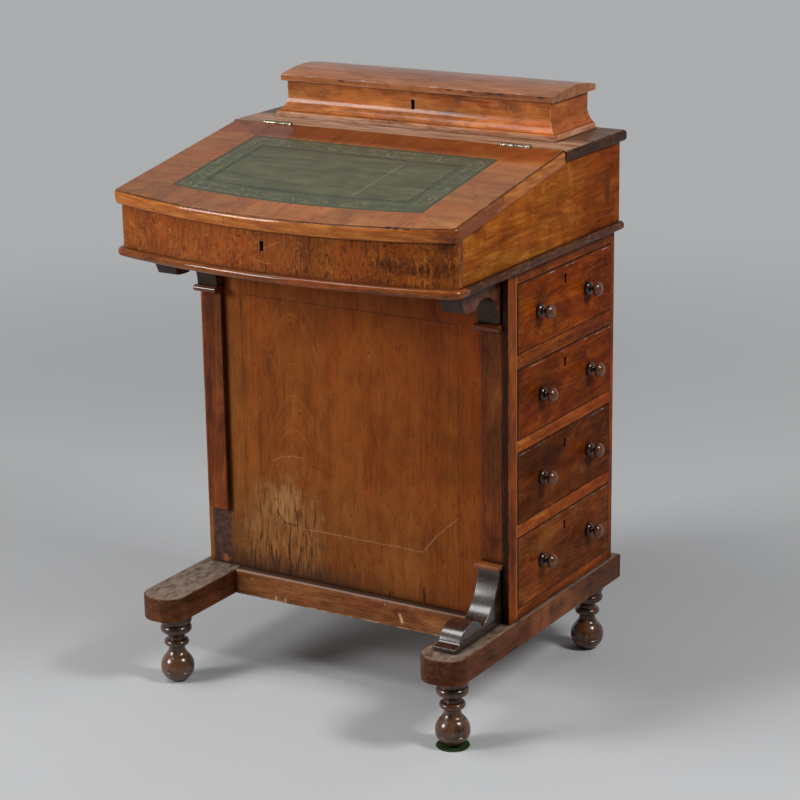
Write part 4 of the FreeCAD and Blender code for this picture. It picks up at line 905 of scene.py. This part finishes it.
def felt_disc(shape):
    """A cut felt pad with a frayed, slightly bulging edge."""
    low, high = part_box("felt_pad")
    centre = (low + high) / 2.0
    radius = (high.x - low.x) / 2.0
    turns = 72
    profile = [(0.0, 0.0), (0.86, 0.0), (0.97, 0.12), (1.0, 0.42), (0.985, 0.74), (0.92, 0.96), (0.8, 1.0),
               (0.0, 1.0)]
    loops = []
    for share, level in profile:
        loop = []
        for turn in range(turns):
            angle = 2.0 * math.pi * turn / turns
            out = Vector((math.cos(angle), math.sin(angle), 0.0))
            fray = 1.0 - 0.035 * abs(noise.noise(out * 6.0 + Vector((0.0, 0.0, level * 2.0))))
            spot = centre + out * (radius * share * fray)
            loop.append(shape.verts.new((spot.x, spot.y, low.z + (high.z - low.z) * level)))
            if share == 0.0:
                break
        loops.append(loop)
    for first, second in zip(loops, loops[1:]):
        for turn in range(turns):
            following = (turn + 1) % turns
            corners = [first[turn % len(first)], first[following % len(first)],
                       second[following % len(second)], second[turn % len(second)]]
            shape.faces.new(list(dict.fromkeys(corners)))
    bmesh.ops.recalc_face_normals(shape, faces=shape.faces)


def timber(names, tones, along, seed, width=EDGE, **look):
    """Dresses some pieces in a wood of their own."""
    material = wood(names.split()[0] + "_wood", tones, along, seed, pith(names, along, seed), **look)
    dress(names, material, width)
    return material


# Pedestal: the frame keeps its edges, because rounding would join its touching members
front_wood = timber("front_panel", PANEL_WOOD, Z, 1.0, specular=0.08, figure=0.62, cloud=0.45, wear=0.2,
                    marks=front_marks)
dress("front_frame", front_wood, 0.0)
timber("back_panel", PANEL_WOOD, Z, 3.1, rough=0.5)
timber("side_panel_left", PANEL_WOOD, Z, 4.7)
timber("drawer_stiles", STILE_WOOD, Z, 5.2, specular=0.06, worms=0.1, wear=0.8, marks=stile_marks)
timber("drawer_rails", RAIL_WOOD, Y, 6.4, specular=0.04, cloud=0.35, worms=0.14, wear=0.8, marks=rail_marks)
timber("carcase_top carcase_bottom", STILE_WOOD, Y, 7.9, specular=0.06)
timber("drawer_runners", INNER_WOOD, X, 8.8, rough=0.55, cloud=0.3)
timber("pilasters", PILASTER_WOOD, Z, 22.8, 0.001)
timber("corbel_left corbel_right", CORBEL_WOOD, Y, 23.9, rough=0.34, specular=0.22, wear=0.3,
       marks=corbel_marks)
timber("corbel_capitals", PILASTER_WOOD, X, 24.7, 0.0006, rough=0.26, coat=0.6, wear=0.9)
timber("scroll_bracket", SCROLL_WOOD, Y, 25.5, 0.001, rough=0.26, coat=1.0, glaze=0.14, specular=0.4,
       wear=0.9)
timber("scroll_cap", CAP_WOOD, X, 26.6, 0.001, rough=0.32, coat=0.5, wear=1.0)
timber("dummy_fronts", DRAWER_WOOD, Y, 32.7, specular=0.06)

# Desk box
timber("desk_front", BURR_WOOD, Z, 9.5, figure=0.6, cloud=0.7, marks=burr_marks)
for name, seed in (("desk_side_left", 10.1), ("desk_side_right", 11.6)):
    timber(name, GOLDEN_WOOD, Y, seed, specular=0.03, figure=0.7, cloud=0.7, marks=side_marks)
timber("desk_back", GOLDEN_WOOD, X, 12.4)
timber("desk_bottom", UMBER_WOOD, X, 13.0, rough=0.5)
timber("bead_front", BEAD_WOOD, X, 14.2, 0.0004, rough=0.34, coat=0.5, glaze=0.05, specular=0.05, wear=0.9)
timber("bead_sides", UMBER_WOOD, Y, 15.2, 0.0004, rough=0.36, wear=0.9, marks=bead_marks)
timber("fall_board", BORDER_WOOD, Y, 16.6, 0.0005, rough=0.34, coat=0.42, glaze=0.07, specular=0.06,
       figure=0.95, cloud=0.6, marks=fall_marks, bend=crossbanding, polish=fall_polish)
timber("deck_board", DECK_WOOD, X, 17.7, rough=0.4, coat=0.2, specular=0.03, wear=0.9, marks=deck_marks)

# Stationery till
timber("till_front", TILL_WOOD, X, 18.3, rough=0.32, coat=0.24, specular=0.08, worms=0.05, marks=till_marks)
till_side_tones = tuple(tinted(tone, (0.8, 0.7, 0.58)) for tone in TILL_WOOD)
timber("till_sides", till_side_tones, Y, 19.1, rough=0.36, specular=0.08, figure=0.7, cloud=0.7,
       marks=till_marks)
timber("till_back", TILL_WOOD, X, 20.5)
timber("till_lid", LID_WOOD, X, 21.2, 0.0014, rough=0.36, coat=0.5, specular=0.1, figure=0.8, cloud=0.5,
       marks=lid_marks)

# Base
for name, seed in (("runner_left", 27.4), ("runner_right", 28.2)):
    timber(name, UMBER_WOOD, Y, seed, 0.0022, wear=1.0, marks=runner_marks)
timber("plinth_rails", PLINTH_WOOD, X, 29.3, 0.0014, wear=1.0, marks=plinth_marks)
for name, seed in (("feet", 30.1), ("foot_front_right", 31.5)):
    timber(name, FOOT_WOOD, Z, seed, 0.0003, rough=0.3, coat=0.6, specular=0.3, marks=foot_marks)

# Drawers, with their locks, and the rest of the metal
knob_wood = wood("knob_wood", KNOB_WOOD, X, 33.8, pith("dummy_knobs", X, 33.8), rough=0.18, coat=0.3,
                 glaze=0.06, specular=0.3, wear=0.3, grime_and_shade=0.4, worms=0.0, marks=knob_marks)
box_wood = wood("drawer_box_wood", INNER_WOOD, X, 34.4, pith("drawer_1_box", X, 34.4), rough=0.55, cloud=0.3)
iron_metal = iron("lock_iron")
dress("dummy_knobs", knob_wood, 0.0002)
DRAWER_TINTS = ((1.02, 0.96, 0.75), (0.98, 0.9, 0.8), (0.72, 0.8, 1.05), (0.94, 1.2, 2.6))
for number, tint in enumerate(DRAWER_TINTS, start=1):
    tones = tuple(tinted(tone, tint) for tone in DRAWER_WOOD)
    timber(f"drawer_{number}_front", tones, Y, 35.0 + number * 3.3, specular=0.03, cloud=1.2, worms=0.08,
           marks=outlined(f"drawer_{number}_front"))
    dress(f"drawer_{number}_knobs", knob_wood, 0.0002)
    dress(f"drawer_{number}_box", box_wood)
    dress(f"drawer_{number}_lock", iron_metal, 0.0004)
dress("fall_lock till_lock", iron_metal, 0.0004)
dress("fall_hinge_fixed fall_hinge_moving till_hinge_fixed till_hinge_moving", brass("hinge_brass"), 0.00015)

# Pieces that stand in for CAD nodes
leather_piece = add_mesh("leather_panel", leather("green_leather"), leather_panel)
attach(leather_piece, "fall")
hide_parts("fall_leather")
felt_piece = add_mesh("felt_disc", felt("green_felt"), felt_disc)
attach(felt_piece, "carcase")
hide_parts("felt_pad")


# Stage: a pale floor that fades into pale surroundings, soft lamps and the camera of the photograph
FLOOR_TONE = (0.515, 0.523, 0.53)
FLOOR_RADIUS = 9.0
FADE = (0.9, 3.0)
PALE = (0.405, 0.415, 0.425)
DIM_TONE = (0.92, 0.96, 1.0)
DIM_STRENGTH = 0.11

CAMERA_AZIMUTH = math.radians(31.6)
CAMERA_ELEVATION = math.radians(16.7)
CAMERA_ROLL = math.radians(-0.9)
CAMERA_DISTANCE = 3.4986
CAMERA_TARGET = Vector((0.0, 0.073, 0.389))
CAMERA_LENS = 109.287
CAMERA_SENSOR = 36.0
CAMERA_REACH = 50.0

# Name, place, target, side of the square, power, and whether gloss mirrors it
LAMPS = [("key_light", (-1.95, -2.35, 1.55), (0.0, 0.0, 0.5), 1.0, 70.0, True),
         ("top_light", (-1.0, -1.2, 3.0), (0.0, 0.0, 0.6), 1.1, 30.0, True),
         ("side_light", (2.3, 0.0, 2.35), (0.2, 0.0, 0.4), 0.7, 52.0, True),
         ("rear_light", (1.2, 3.1, 1.5), (0.0, 0.0, 0.4), 1.4, 16.0, False)]


def floor_paint():
    """A pale floor that takes shadows near the desk and fades into the pale surroundings away from it."""
    paint = Paint("pale_floor")
    paint.colour = paint.mix(grown(FLOOR_TONE, 0.96), grown(FLOOR_TONE, 1.04), paint.noise(1.3, 3.0, 0.5))
    paint.surface(0.72, specular_ior_level=0.3)
    far = paint.span(paint.vector("LENGTH", paint.place, output="Value"), *FADE)
    near = Value(paint, paint.shader.outputs[0])
    glow = paint.add("Emission", {"Color": (*PALE, 1.0)})
    faded = paint.add("MixShader", {0: far * paint.seen(), 1: near, 2: glow})
    paint.feed(paint.tree.nodes["Material Output"].inputs["Surface"], faded)
    return paint.material


def floor_disc(shape):
    bmesh.ops.create_circle(shape, cap_ends=True, segments=96, radius=FLOOR_RADIUS)


def surroundings():
    """Dim light from all round; the camera, and gloss that looks to the rear, see a pale wall."""
    world = bpy.data.worlds.new("studio")
    bpy.context.scene.world = world
    world.use_nodes = True
    graph = Graph(world.node_tree)
    background = graph.tree.nodes["Background"]
    background.inputs["Color"].default_value = (*DIM_TONE, 1.0)
    background.inputs["Strength"].default_value = DIM_STRENGTH
    dim = Value(graph, background.outputs[0])
    wall = graph.add("Background", {"Color": (*PALE, 1.0)})
    to_rear = (-math.sin(CAMERA_AZIMUTH), math.cos(CAMERA_AZIMUTH), 0.0)
    rearward = graph.vector("DOT_PRODUCT", graph.add("TexCoord", output="Generated"), to_rear, "Value")
    rear = graph.add("MapRange", {"Value": rearward, "From Min": -0.1, "From Max": 0.35})
    both = graph.add("MixShader", {0: graph.seen(rear), 1: dim, 2: wall})
    graph.feed(graph.tree.nodes["World Output"].inputs["Surface"], both)


def softbox(name, place, target, side, power, mirrored):
    lamp = bpy.data.lights.new(name, "AREA")
    lamp.shape = "RECTANGLE"
    lamp.size = lamp.size_y = side
    lamp.energy = power
    piece = bpy.data.objects.new(name, lamp)
    piece.location = place
    aim = Vector(target) - Vector(place)
    piece.rotation_mode = "QUATERNION"
    piece.rotation_quaternion = aim.to_track_quat("-Z", "Y")
    piece.visible_camera = False
    piece.visible_glossy = mirrored
    bpy.context.scene.collection.objects.link(piece)


def photo_camera():
    camera = bpy.data.objects.new("camera", bpy.data.cameras.new("camera"))
    camera.data.sensor_width = CAMERA_SENSOR
    camera.data.lens = CAMERA_LENS
    camera.data.clip_end = CAMERA_REACH
    camera.matrix_world = (Matrix.Translation(CAMERA_TARGET)
                           @ Matrix.Rotation(CAMERA_AZIMUTH, 4, "Z")
                           @ Matrix.Rotation(math.pi / 2.0 - CAMERA_ELEVATION, 4, "X")
                           @ Matrix.Rotation(CAMERA_ROLL, 4, "Z")
                           @ Matrix.Translation((0.0, 0.0, CAMERA_DISTANCE)))
    bpy.context.scene.collection.objects.link(camera)
    bpy.context.scene.camera = camera


photo_camera()
floor_piece = add_mesh("floor", floor_paint(), floor_disc)
surroundings()
for lamp_values in LAMPS:
    softbox(*lamp_values)

bpy.context.scene.view_settings.view_transform = "Standard"
